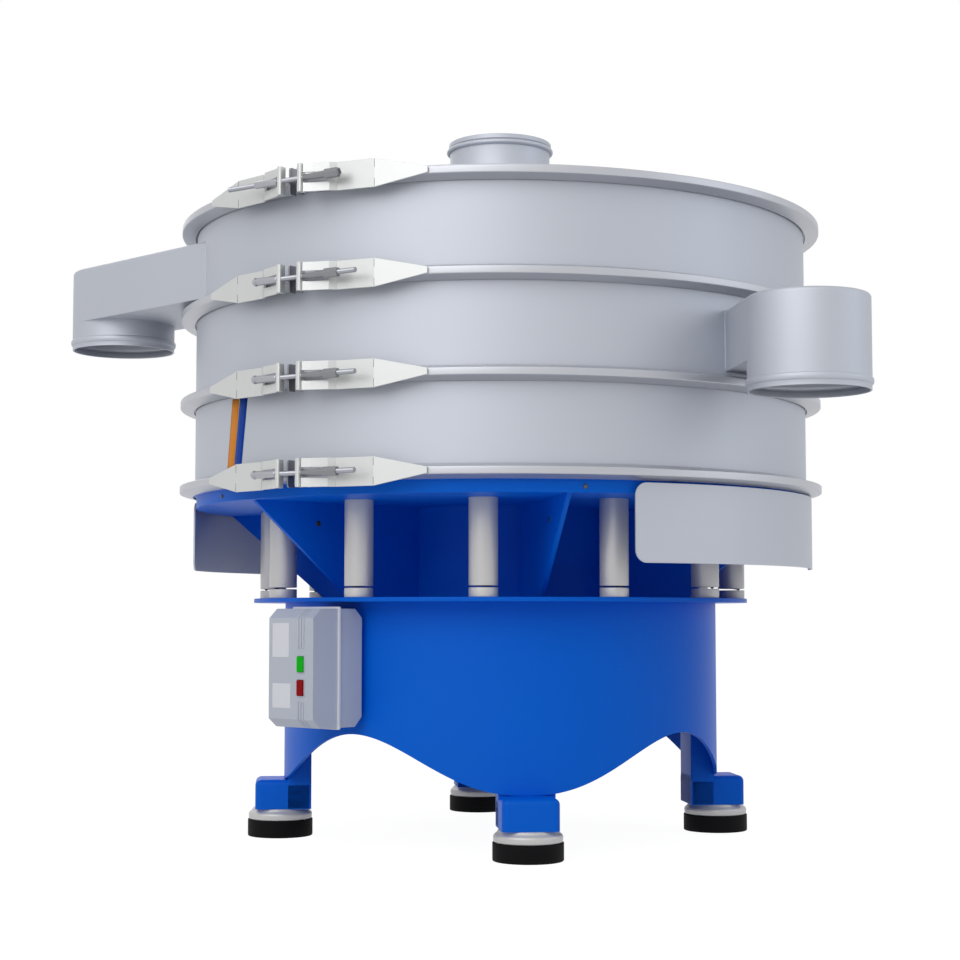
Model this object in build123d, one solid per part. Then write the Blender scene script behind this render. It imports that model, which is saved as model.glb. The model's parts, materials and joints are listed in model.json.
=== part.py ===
from build123d import *
import os
from math import asin, cos, degrees, radians, sin, sqrt

# A round three-deck vibrating sieve that stands on a sprung base drum.
# Millimetres, +Z up, floor at Z 0. Everything is drawn round the machine's upright axis,
# and the last step moves it so that the origin lies under the middle of the whole outline.
# Angles are seen from above: 0 points along -Y and they grow towards +X.

# Running, seating and sliding clearances
SEAT = 0.2
RUN = 0.05
SLIDE = 0.5

# Flat sides that stand for a round outline: large pieces, hidden seals, middling and small pieces
SIDES = 48
SEAL_SIDES = 24
MID_SIDES = 20
SMALL_SIDES = 10

# Decks: rolled walls, screens and the joints between them
DECK_R = 610.0
DECK_WALL = 3.0
TABLE_JOINT_Z = 677.0
BOTTOM_FRAME_PITCH = 168.0
FRAME_PITCH = 173.5
SEAL_GAP = 6.0

# Split clamp rings: a V section that pulls two flanges together
RING_PROUD = 30.0
RING_RIM_T = 4.5
RING_LIP_H = 9.0
RING_ROOT_H = 27.0
FLANGE_CLEARANCE = 0.5
CLAMP_ANGLE = -33.3
RING_GAP_HALF = 12.0

# Folded clamp lugs and their bolts, along the tangent at the clamp
LUG_T = 4.0
LUG_H = 50.0
LUG_END_H = 11.0
LUG_END_ANGLE = 22.3
LUG_CREASE_ANGLE = 13.8
LUG_FOLD_ANGLE = 7.4
LUG_CHORD_LIFT = 1.9
LUG_BLOCK = 15.0
FORK_SLOT_H = 20.0
FORK_SLOT_END = 72.0
TRUNNION_R = 7.0
TRUNNION_AT = 22.0
BOLT_LINE_OUT = 25.0
BOLT_R = 5.0
BOLT_HEAD_R = 7.5
BOLT_HEAD_END = 80.0
BOLT_TAIL = 143.0
NUT_SLEEVE_R = 6.8
NUT_SHOULDER_R = 9.0
NUT_HEX_START = 75.0
NUT_END = 108.0
NUT_FLATS = 20.0

# Outlet spouts: a flat duct that leaves the wall on a tangent and turns down into a pipe
SPOUT_PIPE_R = 105.5
SPOUT_INSET = 160.0
SPOUT_OUT = 194.5
SPOUT_ANGLES = {"top": -99.5, "middle": 40.9, "bottom": 180.0}
DUCT_FLOOR_ABOVE_JOINT = 20.5
DUCT_TOP_BELOW_JOINT = 42.0
MOUTH_BELOW_JOINT = 33.0
SPOUT_WALL = 3.0
DUCT_WALL = 1.6
BEAD_PROUD = 4.0
BEAD_H = 12.0
LIP_H = 9.0

# Lid with its inlet neck and inspection port
LID_T = 3.0
LID_LAND_R = 132.0
LID_RISE = 88.0
INLET_WALL = 3.0
INLET_LIP_PROUD = 3.0
INLET_BEAD_PROUD = 7.0
INLET_BORE_R = 98.5
INLET_TOP_ABOVE_JOINT = 199.0
PORT_R = 85.0
PORT_WALL = 3.0
PORT_AT_R = 205.0
PORT_ANGLE = -108.0
PORT_TOP_ABOVE_JOINT = 144.0
PORT_COVER_PROUD = 6.0
PORT_COVER_T = 8.0

# Screens and the domed floor of the bottom frame
SCREEN_RING_INSET = 22.0
MESH_T = 1.2
DOME_T = 3.0
DOME_ABOVE_JOINT = 19.0
DOME_RISE = 46.0
GASKET_INSET = 10.0

# Vibrating table: plate, rim, motor tube and gussets
TABLE_Z = 641.0
TABLE_PLATE_T = 10.0
TABLE_RIM_INSET = 3.0
TABLE_RIM_T = 8.0
HUB_R = 213.0
HUB_T = 8.0
HUB_LOW_Z = 380.0
GUSSET_COUNT = 6
GUSSET_ANGLE = 11.5
GUSSET_T = 8.0
GUSSET_TIP_INSET = 10.0
GUSSET_SLOPE = 1.2176
GUSSET_LOW_Z = 400.0
MOTOR_RING_Z = 500.0
MOTOR_RING_T = 12.0

# Vertical motor with an unbalanced weight at each end of its shaft
MOTOR_R = 115.0
MOTOR_TOP_R = 98.0
MOTOR_LOW_Z = 330.0
MOTOR_TOP_Z = 590.0
SHAFT_R = 20.0
SHAFT_LOW_Z = 262.0
SHAFT_TOP_Z = 634.0
WEIGHT_HUB_R = 36.0
UPPER_WEIGHT_R = 150.0
UPPER_WEIGHT_Z = 596.0
LOWER_WEIGHT_R = 165.0
LOWER_WEIGHT_Z = 270.0
WEIGHT_T = 34.0

# Base drum: skirt with four arches, top flange, legs and feet
BASE_TOP_Z = 464.5
BASE_FLANGE_PROUD = 62.0
BASE_FLANGE_T = 8.0
BASE_OPENING_INSET = 30.0
SKIRT_R = 430.0
SKIRT_T = 6.0
ARCH_TOP_Z = 215.0
ARCH_SHARPNESS = 1.2
ARCH_STEPS = 20
LEG_COUNT = 4
LEG_ANGLE = 6.45
LEG_W = 103.0
LEG_DEPTH = 47.0
LEG_WALL = 5.0
FOOT_BLOCK_TOP_Z = 112.0
FOOT_BLOCK_CORNER = 11.0
FOOT_OUT = 7.0
PAD_R = 63.5
PAD_H = 33.0
CAP_INSET = 1.0
CAP_TOP_R = 53.0
CAP_SIDE_H = 12.0
CAP_H = 22.0

# Springs between base and table, each in a two-part sleeve
SPRING_COUNT = 12
SPRING_ANGLE = -3.7
SPRING_OUT = 32.0
SLEEVE_R = 26.25
SLEEVE_WALL = 4.0
SPRING_SEAT_H = 17.0
SLEEVE_GAP = 3.0
SPRING_R = 18.0

# Starter box on the skirt
BOX_ANGLE = -42.0
BOX_W = 149.0
BOX_H = 216.0
BOX_LOW_Z = 231.0
BOX_GAP = 21.0
BOX_BACK_D = 57.0
BOX_SIDE_D = 44.0
BOX_BEVEL_D = 8.0
BOX_BEVEL = 16.0
BOX_BACK_BEVEL = 11.0
BRACKET_W = 90.0
BRACKET_H = 160.0
BRACKET_T = 4.0
BUTTON_W = 17.0
BUTTON_H = 28.0
BUTTON_SIDE = 26.0
BUTTON_Z = {"start": 345.0, "stop": 303.0}
BUTTON_PROUD = 3.5
BUTTON_DEPTH = 11.0
BUTTON_POCKET = 12.5

# Bare curved plates on the table rim
BAND_GAP = 10.0
BAND_T = 3.0
BAND_LOW_Z = 522.0
BAND_TOP_Z = 660.0
BAND_STARTS = (22.0, 202.0)
BAND_SWEEP = 68.0
BAND_CORNER = 10.0
SPACER_R = 7.0
SPACER_SLACK = 1.5
SPACER_TURNS = (8.0, 30.5, 53.0)

# Heights of the four clamped joints, from the table upwards
JOINT_Z = [TABLE_JOINT_Z, TABLE_JOINT_Z + BOTTOM_FRAME_PITCH]
JOINT_Z += [JOINT_Z[1] + FRAME_PITCH, JOINT_Z[1] + 2 * FRAME_PITCH]
INLET_TOP_Z = JOINT_Z[3] + INLET_TOP_ABOVE_JOINT
PORT_TOP_Z = JOINT_Z[3] + PORT_TOP_ABOVE_JOINT
DOME_RIM_Z = JOINT_Z[0] + DOME_ABOVE_JOINT

# Radii that follow the deck wall
RING_R = DECK_R + RING_PROUD
RING_ROOT_R = DECK_R + DECK_WALL
RING_GROOVE_R = RING_R - RING_RIM_T
BOLT_LINE_R = RING_R + BOLT_LINE_OUT
SCREEN_RING_IN_R = DECK_R - SCREEN_RING_INSET
GASKET_IN_R = DECK_R - GASKET_INSET
TABLE_RIM_R = DECK_R - TABLE_RIM_INSET
GUSSET_TOP_R = TABLE_RIM_R - GUSSET_TIP_INSET
BAND_R = TABLE_RIM_R + BAND_GAP + BAND_T

# Radii that follow the skirt
BASE_FLANGE_R = SKIRT_R + BASE_FLANGE_PROUD
BASE_OPENING_R = SKIRT_R - BASE_OPENING_INSET
LEG_IN_R = SKIRT_R - LEG_DEPTH
FOOT_BLOCK_R = BASE_FLANGE_R
FOOT_AT_R = SKIRT_R + FOOT_OUT
CAP_R = PAD_R - CAP_INSET
SPRING_AT_R = SKIRT_R + SPRING_OUT
BOX_BACK_R = SKIRT_R + BOX_GAP
BOX_SEAM_R = BOX_BACK_R + BOX_BACK_D
BOX_SHOULDER_R = BOX_SEAM_R + BOX_SIDE_D
BOX_FRONT_R = BOX_SHOULDER_R + BOX_BEVEL_D

# Radii of beads, lips and covers on their necks
BEAD_R = SPOUT_PIPE_R + BEAD_PROUD
INLET_NECK_R = INLET_BORE_R + INLET_WALL
INLET_LIP_R = INLET_NECK_R + INLET_LIP_PROUD
INLET_BEAD_R = INLET_NECK_R + INLET_BEAD_PROUD
PORT_COVER_R = PORT_R + PORT_COVER_PROUD

# Slope of the rings, tip of the flanges and the line of the ducts
RING_SLOPE = RING_ROOT_H / 2 / (RING_GROOVE_R - RING_ROOT_R)
FLANGE_TIP_R = RING_GROOVE_R - (SEAL_GAP / 2 + FLANGE_CLEARANCE) / RING_SLOPE
SPOUT_OFFSET = DECK_R - SPOUT_INSET
SPOUT_REACH = DECK_R + SPOUT_OUT
DUCT_TURN = degrees(asin(SPOUT_OFFSET / SPOUT_REACH))
DUCT_RUN = sqrt(SPOUT_REACH**2 - SPOUT_OFFSET**2)


def around(angle, radius=0.0, z=0.0):
    """A place at an angle round the machine, its own X pointing outwards."""
    return Rot(0, 0, angle - 90) * Pos(radius, 0, z)


def turned(points, sides=SIDES, arc=360):
    """A flat-sided solid of revolution about Z from (radius, height) points."""
    steps = sides if arc == 360 else round(sides * arc / 360)
    turns = [radians(arc * step / steps) for step in range(steps + 1)]
    rings = [[(r * cos(turn), r * sin(turn), z) for turn in turns] for r, z in points]
    faces = []
    for (start, from_ring), (end, to_ring) in zip(
        zip(points, rings), zip(points[1:] + points[:1], rings[1:] + rings[:1])
    ):
        if start[1] == end[1] and arc == 360:
            inner, outer = sorted([(start[0], from_ring), (end[0], to_ring)])
            hole = [Wire.make_polygon(inner[1][:-1])] if inner[0] else []
            faces.append(Face(Wire.make_polygon(outer[1][:-1]), hole))
        elif start[0] or end[0]:
            for step in range(steps):
                corners = [from_ring[step], from_ring[step + 1], to_ring[step + 1], to_ring[step]]
                distinct = list(dict.fromkeys(corners))
                faces.append(Face(Wire.make_polygon(distinct)))
    if arc != 360:
        faces += [Face(Wire.make_polygon([ring[step] for ring in rings])) for step in (0, steps)]
    return Solid(Shell(faces))


def flange_back(radius):
    """Height of a clamped flange at a radius, so that it fills the ring's groove."""
    return RING_SLOPE * (RING_GROOVE_R - radius) - FLANGE_CLEARANCE - SEAL_GAP / 2


def block(x_low, x_high, width, z_low, z_high):
    """A box given by its span outwards, its whole width and its span in height."""
    size = Box(x_high - x_low, width, z_high - z_low)
    return Pos((x_low + x_high) / 2, 0, (z_low + z_high) / 2) * size


def disc(radius, z_low, z_high):
    """An upright cylinder between two heights."""
    return Pos(0, 0, (z_low + z_high) / 2) * Cylinder(radius, z_high - z_low)


def prism(radius, z_low, z_high, sides=SMALL_SIDES):
    """An upright prism between two heights, standing for a cylinder."""
    return Pos(0, 0, z_low) * extrude(RegularPolygon(radius, sides), z_high - z_low)


def base_drum():
    """Rolled skirt with four arches, welded under the ring flange that carries the springs."""
    flange_low = BASE_TOP_Z - BASE_FLANGE_T
    skirt_low = FOOT_BLOCK_TOP_Z + SEAT
    skirt_in = SKIRT_R - SKIRT_T
    drum = turned(
        [
            (skirt_in, skirt_low),
            (SKIRT_R, skirt_low),
            (SKIRT_R, flange_low),
            (BASE_FLANGE_R, flange_low),
            (BASE_FLANGE_R, BASE_TOP_Z),
            (BASE_OPENING_R, BASE_TOP_Z),
            (BASE_OPENING_R, flange_low),
            (skirt_in, flange_low),
        ]
    )
    half = 180 / LEG_COUNT
    edge = [(SKIRT_R * sin(radians(half)), 0), (-SKIRT_R * sin(radians(half)), 0)]
    for step in range(ARCH_STEPS + 1):
        share = 2 * step / ARCH_STEPS - 1
        wave = (0.5 + 0.5 * cos(radians(180 * share))) ** ARCH_SHARPNESS
        rise = (ARCH_TOP_Z - skirt_low) * wave
        edge.append((SKIRT_R * sin(radians(half * share)), skirt_low + rise))
    arch = extrude(Plane.YZ * make_face(Polyline(*edge, close=True)), BASE_FLANGE_R)
    for leg in range(LEG_COUNT):
        drum -= around(LEG_ANGLE + half + 2 * half * leg) * arch
    return drum


def legs():
    """Box columns inside the skirt, each with a foot block that steps out below it."""
    column_top = BASE_TOP_Z - BASE_FLANGE_T
    column = block(LEG_IN_R, SKIRT_R, LEG_W, PAD_H + CAP_H, column_top)
    skirt_in = SKIRT_R - SKIRT_T - SEAT
    column &= Rot(0, 0, -LEG_ANGLE) * turned(
        [(0, 0), (skirt_in, 0), (skirt_in, column_top), (0, column_top)]
    )
    foot = block(LEG_IN_R, FOOT_BLOCK_R, LEG_W, PAD_H + CAP_H, FOOT_BLOCK_TOP_Z)
    corners = foot.edges().filter_by(Axis.Z).sort_by(Axis.X)[-2:]
    foot = chamfer(corners, FOOT_BLOCK_CORNER)
    hollow_w = LEG_W - 2 * LEG_WALL
    hollow_out = SKIRT_R - SKIRT_T - 2 * LEG_WALL
    floor_z = PAD_H + CAP_H + LEG_WALL
    hollow = block(LEG_IN_R + LEG_WALL, hollow_out, hollow_w, floor_z, column_top)
    leg = column + foot - hollow
    return [around(LEG_ANGLE + 360 / LEG_COUNT * n) * leg for n in range(LEG_COUNT)]


def at_feet(piece):
    """One copy of a piece on the axis of each foot."""
    turn = 360 / LEG_COUNT
    return [around(LEG_ANGLE + turn * n, FOOT_AT_R) * piece for n in range(LEG_COUNT)]


def foot_cap():
    """Steel cap of a rubber foot, with a sloping shoulder under the block."""
    shoulder_z = PAD_H + CAP_SIDE_H
    top_z = PAD_H + CAP_H
    outline = [(0, PAD_H), (CAP_R, PAD_H), (CAP_R, shoulder_z), (CAP_TOP_R, top_z), (0, top_z)]
    return turned(outline, MID_SIDES)


def at_springs(piece):
    """One copy of a piece on the axis of each spring."""
    turn = 360 / SPRING_COUNT
    return [around(SPRING_ANGLE + turn * n, SPRING_AT_R) * piece for n in range(SPRING_COUNT)]


def table():
    """Plate and flanged rim with the motor tube and its gussets welded below."""
    face_z = TABLE_JOINT_Z - SEAL_GAP / 2
    plate_top = TABLE_Z + TABLE_PLATE_T
    rim_in = TABLE_RIM_R - TABLE_RIM_T
    plate = turned(
        [
            (0, TABLE_Z),
            (TABLE_RIM_R, TABLE_Z),
            (TABLE_RIM_R, face_z - flange_back(TABLE_RIM_R)),
            (FLANGE_TIP_R, face_z),
            (rim_in, face_z),
            (rim_in, plate_top),
            (0, plate_top),
        ]
    )
    hub_in = HUB_R - HUB_T
    ring_top = MOTOR_RING_Z + MOTOR_RING_T
    hub = turned(
        [
            (hub_in, HUB_LOW_Z),
            (HUB_R, HUB_LOW_Z),
            (HUB_R, TABLE_Z),
            (hub_in, TABLE_Z),
            (hub_in, ring_top),
            (MOTOR_TOP_R + SLIDE, ring_top),
            (MOTOR_TOP_R + SLIDE, MOTOR_RING_Z),
            (hub_in, MOTOR_RING_Z),
        ],
        MID_SIDES,
    )
    low_r = GUSSET_TOP_R - (TABLE_Z - GUSSET_LOW_Z) / (1 / GUSSET_SLOPE)
    root_r = HUB_R - HUB_T / 2
    outline = [(root_r, TABLE_Z), (GUSSET_TOP_R, TABLE_Z), (low_r, GUSSET_LOW_Z)]
    outline.append((root_r, GUSSET_LOW_Z))
    web = extrude(Plane.XZ * make_face(Polyline(*outline, close=True)), GUSSET_T / 2, both=True)
    whole = plate + hub
    for n in range(GUSSET_COUNT):
        whole += around(GUSSET_ANGLE + 360 / GUSSET_COUNT * n) * web
    return whole


def motor_body():
    """Stepped motor housing that hangs under the ring inside the table's tube."""
    outline = [(0, MOTOR_LOW_Z), (MOTOR_R, MOTOR_LOW_Z), (MOTOR_R, MOTOR_RING_Z)]
    outline += [(MOTOR_TOP_R, MOTOR_RING_Z), (MOTOR_TOP_R, MOTOR_TOP_Z), (0, MOTOR_TOP_Z)]
    return turned(outline, MID_SIDES) - disc(SHAFT_R + RUN, MOTOR_LOW_Z, MOTOR_TOP_Z)


def weight(radius, z):
    """Half-round unbalanced weight with a clamping hub round the shaft."""
    top = z + WEIGHT_T
    half = prism(radius, z, top, MID_SIDES) & block(0, radius, 2 * radius, z, top)
    return half + prism(WEIGHT_HUB_R, z, top, MID_SIDES) - disc(SHAFT_R + RUN, z, top)


def spout(name, joint_z, next_joint_z):
    """Outside and hollow of one tangential duct with its down pipe, as two solids."""
    floor_z = joint_z + DUCT_FLOOR_ABOVE_JOINT
    top_z = next_joint_z - DUCT_TOP_BELOW_JOINT
    mouth_z = joint_z - MOUTH_BELOW_JOINT
    place = around(SPOUT_ANGLES[name] - DUCT_TURN) * Pos(0, SPOUT_OFFSET, 0)
    down = Pos(DUCT_RUN, 0, 0)
    start = sqrt(DECK_R**2 - (SPOUT_OFFSET + SPOUT_PIPE_R) ** 2) - DECK_WALL
    outside = block(start, DUCT_RUN, 2 * SPOUT_PIPE_R, floor_z, top_z)
    bead_low = mouth_z + LIP_H
    pipe = [(0, mouth_z), (SPOUT_PIPE_R, mouth_z), (SPOUT_PIPE_R, bead_low)]
    pipe += [(BEAD_R, bead_low + BEAD_H / 2), (SPOUT_PIPE_R, bead_low + BEAD_H)]
    pipe += [(SPOUT_PIPE_R, top_z), (0, top_z)]
    outside += down * turned(pipe, MID_SIDES)
    inner = SPOUT_PIPE_R - DUCT_WALL
    low = floor_z + SPOUT_WALL
    high = top_z - SPOUT_WALL
    hollow = block(start / 2, DUCT_RUN, 2 * inner, low, high)
    hollow += down * turned([(0, low), (inner, low), (inner, high), (0, high)], MID_SIDES)
    hollow += down * disc(SPOUT_PIPE_R - SPOUT_WALL, mouth_z, low)
    return place * outside, place * hollow


def frame(name, joint_z, next_joint_z):
    """Deck wall with a tapered flange at each end and its outlet spout."""
    low = joint_z + SEAL_GAP / 2
    high = next_joint_z - SEAL_GAP / 2
    inner = DECK_R - DECK_WALL
    wall = turned(
        [
            (inner, low),
            (FLANGE_TIP_R, low),
            (DECK_R, low + flange_back(DECK_R)),
            (DECK_R, high - flange_back(DECK_R)),
            (FLANGE_TIP_R, high),
            (inner, high),
        ]
    )
    outside, hollow = spout(name, joint_z, next_joint_z)
    joined = outside - disc(DECK_R - DECK_WALL / 2, joint_z - MOUTH_BELOW_JOINT, next_joint_z)
    return wall + joined - hollow


def screen(joint_z):
    """Woven mesh bonded to the underside of its tension ring."""
    low = joint_z - SEAL_GAP / 2 + SEAT
    high = joint_z + SEAL_GAP / 2 - SEAT
    outline = [(0, low), (FLANGE_TIP_R - SEAT, low), (FLANGE_TIP_R - SEAT, high)]
    outline += [(SCREEN_RING_IN_R, high), (SCREEN_RING_IN_R, low + MESH_T), (0, low + MESH_T)]
    return turned(outline, SEAL_SIDES)


def gasket(joint_z):
    """Flat rubber ring between two flanges."""
    low = joint_z - SEAL_GAP / 2 + SEAT
    high = joint_z + SEAL_GAP / 2 - SEAT
    tip = FLANGE_TIP_R - SEAT
    return turned([(GASKET_IN_R, low), (tip, low), (tip, high), (GASKET_IN_R, high)], SEAL_SIDES)


def discharge_dome():
    """Shallow cone on the bottom frame's wall that sheds the fines outwards."""
    rim = DECK_R - DECK_WALL - SEAT
    top = DOME_RIM_Z + DOME_RISE
    return turned([(0, top), (rim, DOME_RIM_Z), (rim, DOME_RIM_Z - DOME_T), (0, top - DOME_T)])


def lid():
    """Conical cover with a flat land, the inlet neck and the inspection collar."""
    face_z = JOINT_Z[3] + SEAL_GAP / 2
    edge_z = face_z + flange_back(DECK_R)
    land_z = edge_z + LID_RISE
    inner = DECK_R - DECK_WALL
    under = [(inner, edge_z - LID_T), (LID_LAND_R, land_z - LID_T), (0, land_z - LID_T)]
    over = [(0, land_z), (LID_LAND_R, land_z), (DECK_R, edge_z)]
    cover = turned(under + over + [(FLANGE_TIP_R, face_z), (inner, face_z)])
    bead_high = INLET_TOP_Z - LIP_H
    neck = [(0, land_z), (INLET_NECK_R, land_z), (INLET_NECK_R, bead_high - BEAD_H)]
    neck += [(INLET_BEAD_R, bead_high - BEAD_H / 2), (INLET_LIP_R, bead_high)]
    neck += [(INLET_LIP_R, INLET_TOP_Z), (0, INLET_TOP_Z)]
    collar = turned([(0, edge_z), (PORT_R, edge_z), (PORT_R, PORT_TOP_Z), (0, PORT_TOP_Z)], MID_SIDES)
    below = turned([(0, face_z), (inner, face_z)] + under)
    at_port = around(PORT_ANGLE, PORT_AT_R)
    port_bore = at_port * prism(PORT_R - PORT_WALL, face_z, PORT_TOP_Z, MID_SIDES)
    whole = cover + turned(neck, MID_SIDES) + (at_port * collar - below)
    return whole - port_bore - disc(INLET_BORE_R, face_z, INLET_TOP_Z)


def port_cover():
    """Clear disc that closes the inspection port, with a rim that hooks over its collar."""
    rim_low = PORT_TOP_Z - PORT_COVER_T
    collar = PORT_R + SEAT
    plate_top = PORT_TOP_Z + PORT_COVER_T / 2
    outline = [(0, PORT_TOP_Z), (collar, PORT_TOP_Z), (collar, rim_low), (PORT_COVER_R, rim_low)]
    outline += [(PORT_COVER_R, plate_top), (0, plate_top)]
    return around(PORT_ANGLE, PORT_AT_R) * turned(outline, MID_SIDES)


def clamp_ring(joint_z):
    """Split V-section ring round two flanges, open at the clamp."""
    section = [
        (RING_ROOT_R, joint_z + RING_ROOT_H / 2),
        (RING_R, joint_z + RING_LIP_H / 2),
        (RING_R, joint_z - RING_LIP_H / 2),
        (RING_ROOT_R, joint_z - RING_ROOT_H / 2),
        (RING_GROOVE_R, joint_z),
    ]
    gap = block(0, 2 * RING_R, 2 * RING_GAP_HALF, joint_z - RING_ROOT_H, joint_z + RING_ROOT_H)
    return turned(section) - around(CLAMP_ANGLE) * gap


def lug():
    """Folded end plate of a clamp ring, to the side of growing angle, centred on Z 0."""

    def station(angle, radius):
        return radius * cos(radians(angle)), radius * sin(radians(angle))

    inner = RING_R + SEAT
    stations = [
        station(LUG_END_ANGLE, inner + LUG_CHORD_LIFT),
        station(LUG_CREASE_ANGLE, inner + LUG_CHORD_LIFT),
        station(LUG_FOLD_ANGLE, inner + LUG_CHORD_LIFT),
        (BOLT_LINE_R - LUG_T / 2, TRUNNION_AT),
    ]
    outer = [(x + LUG_T, y) for x, y in stations]
    plan = make_face(Polyline(*stations, *reversed(outer), close=True))
    plate = extrude(plan, LUG_H / 2, both=True)
    end_y = stations[0][1]
    crease_y = stations[1][1]
    side = [(TRUNNION_AT, LUG_H / 2), (crease_y, LUG_H / 2), (end_y, LUG_END_H / 2)]
    side += [(y, -z) for y, z in reversed(side)]
    plate &= extrude(Plane.YZ * make_face(Polyline(*side, close=True)), 2 * RING_R)
    barrel = Pos(BOLT_LINE_R, TRUNNION_AT, 0) * Box(LUG_BLOCK, LUG_BLOCK, LUG_H)
    slot = Pos(BOLT_LINE_R, FORK_SLOT_END / 2, 0) * Box(2 * BOLT_LINE_R / 3, FORK_SLOT_END, FORK_SLOT_H)
    return plate + barrel - slot


def clamp_lugs():
    """Both lugs of each of the four rings."""
    right = lug()
    left = mirror(right, Plane.XZ)
    places = [around(CLAMP_ANGLE, 0, z) for z in JOINT_Z]
    return [place * piece for place in places for piece in (left, right)]


def rod(radius, start, end, inscribed=True):
    """A prism along the clamp's tangent, standing for a round bar between two places."""
    outline = RegularPolygon(radius, SMALL_SIDES, major_radius=inscribed)
    return extrude(Plane.XZ.offset(-start) * outline, start - end)


def clamp_bolt(joint_z, tail_low, tail_high):
    """Bolt with a sleeved head and the two upright trunnions that it pulls on."""
    bolt = rod(BOLT_R, tail_low, tail_high) + rod(BOLT_HEAD_R, -BOLT_HEAD_END, -TRUNNION_AT)
    height = FORK_SLOT_H / 2 - SEAT
    for side in (-1, 1):
        bolt += Pos(0, side * TRUNNION_AT, 0) * prism(TRUNNION_R, -height, height)
    return around(CLAMP_ANGLE, BOLT_LINE_R, joint_z) * bolt


def clamp_nut(joint_z):
    """Long tapered sleeve with a hexagon on its end, turning on the bolt."""
    start = TRUNNION_AT + TRUNNION_R + SEAT
    sleeve = [(0, start), (NUT_SLEEVE_R, start), (NUT_SHOULDER_R, NUT_HEX_START), (0, NUT_HEX_START)]
    hexagon = RegularPolygon(NUT_FLATS / 2, 6, major_radius=False)
    hexagon = extrude(Plane.XZ.offset(-NUT_HEX_START) * hexagon, NUT_HEX_START - NUT_END)
    nut = Rot(-90, 0, 0) * turned(sleeve, SMALL_SIDES) + hexagon
    return around(CLAMP_ANGLE, BOLT_LINE_R, joint_z) * (nut - rod(BOLT_R + RUN, 0, NUT_END, False))


def box_part(back, front):
    """Plain block of the starter box between two distances from the axis."""
    return block(back, front, BOX_W, BOX_LOW_Z, BOX_LOW_Z + BOX_H)


def box_body():
    """Back half of the starter box, bevelled towards the skirt."""
    body = box_part(BOX_BACK_R, BOX_SEAM_R)
    return chamfer(body.faces().sort_by(Axis.X)[0].edges(), BOX_BACK_BEVEL)


def box_cover():
    """Front half of the starter box, with a broad bevel and pockets for its buttons."""
    cover = box_part(BOX_SEAM_R, BOX_FRONT_R)
    depth = BOX_FRONT_R - BOX_SHOULDER_R
    front = cover.faces().sort_by(Axis.X)[-1]
    cover = chamfer(front.edges(), depth, BOX_BEVEL, reference=front)
    for z in BUTTON_Z.values():
        pocket = Box(BUTTON_POCKET, BUTTON_W + 2 * SLIDE, BUTTON_H + 2 * SLIDE)
        cover -= Pos(BOX_FRONT_R - BUTTON_POCKET / 2, BUTTON_SIDE, z) * pocket
    return cover


def box_bracket():
    """Channel that holds the starter box off the round skirt."""
    centre_z = BOX_LOW_Z + BOX_H / 2
    low = centre_z - BRACKET_H / 2
    high = centre_z + BRACKET_H / 2
    channel = block(SKIRT_R - SKIRT_T, BOX_BACK_R, BRACKET_W, low, high)
    channel -= block(SKIRT_R - SKIRT_T, BOX_BACK_R - BRACKET_T, BRACKET_W - 2 * BRACKET_T, low, high)
    return channel - disc(SKIRT_R + SEAT, low, high)


def button(name):
    """Push button of the starter box."""
    front = BOX_FRONT_R + BUTTON_PROUD
    key = Box(BUTTON_DEPTH, BUTTON_W, BUTTON_H)
    return Pos(front - BUTTON_DEPTH / 2, BUTTON_SIDE, BUTTON_Z[name]) * key


def name_band(start):
    """Bare curved plate round part of the table rim, with its corners cut off."""
    inner = BAND_R - BAND_T
    section = [(inner, BAND_LOW_Z), (BAND_R, BAND_LOW_Z), (BAND_R, BAND_TOP_Z), (inner, BAND_TOP_Z)]
    band = turned(section, SIDES, BAND_SWEEP)
    ends = [edge for edge in band.edges() if abs(edge.length - BAND_T) < RUN]
    corners = [edge for edge in ends if edge.center().Z in (BAND_LOW_Z, BAND_TOP_Z)]
    return around(start) * chamfer(corners, BAND_CORNER)


def band_spacers():
    """Hexagonal spacers between the table rim and each curved plate."""
    length = BAND_R - BAND_T - TABLE_RIM_R - SPACER_SLACK
    outline = Plane.YZ.offset(TABLE_RIM_R + SEAT) * RegularPolygon(SPACER_R, 6)
    pin = Pos(0, 0, (TABLE_Z + BAND_TOP_Z) / 2) * extrude(outline, length)
    return [around(start + turn) * pin for start in BAND_STARTS for turn in SPACER_TURNS]


def on_box(piece):
    """A piece drawn along X, turned to the starter box's side of the skirt."""
    return around(BOX_ANGLE) * piece


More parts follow.
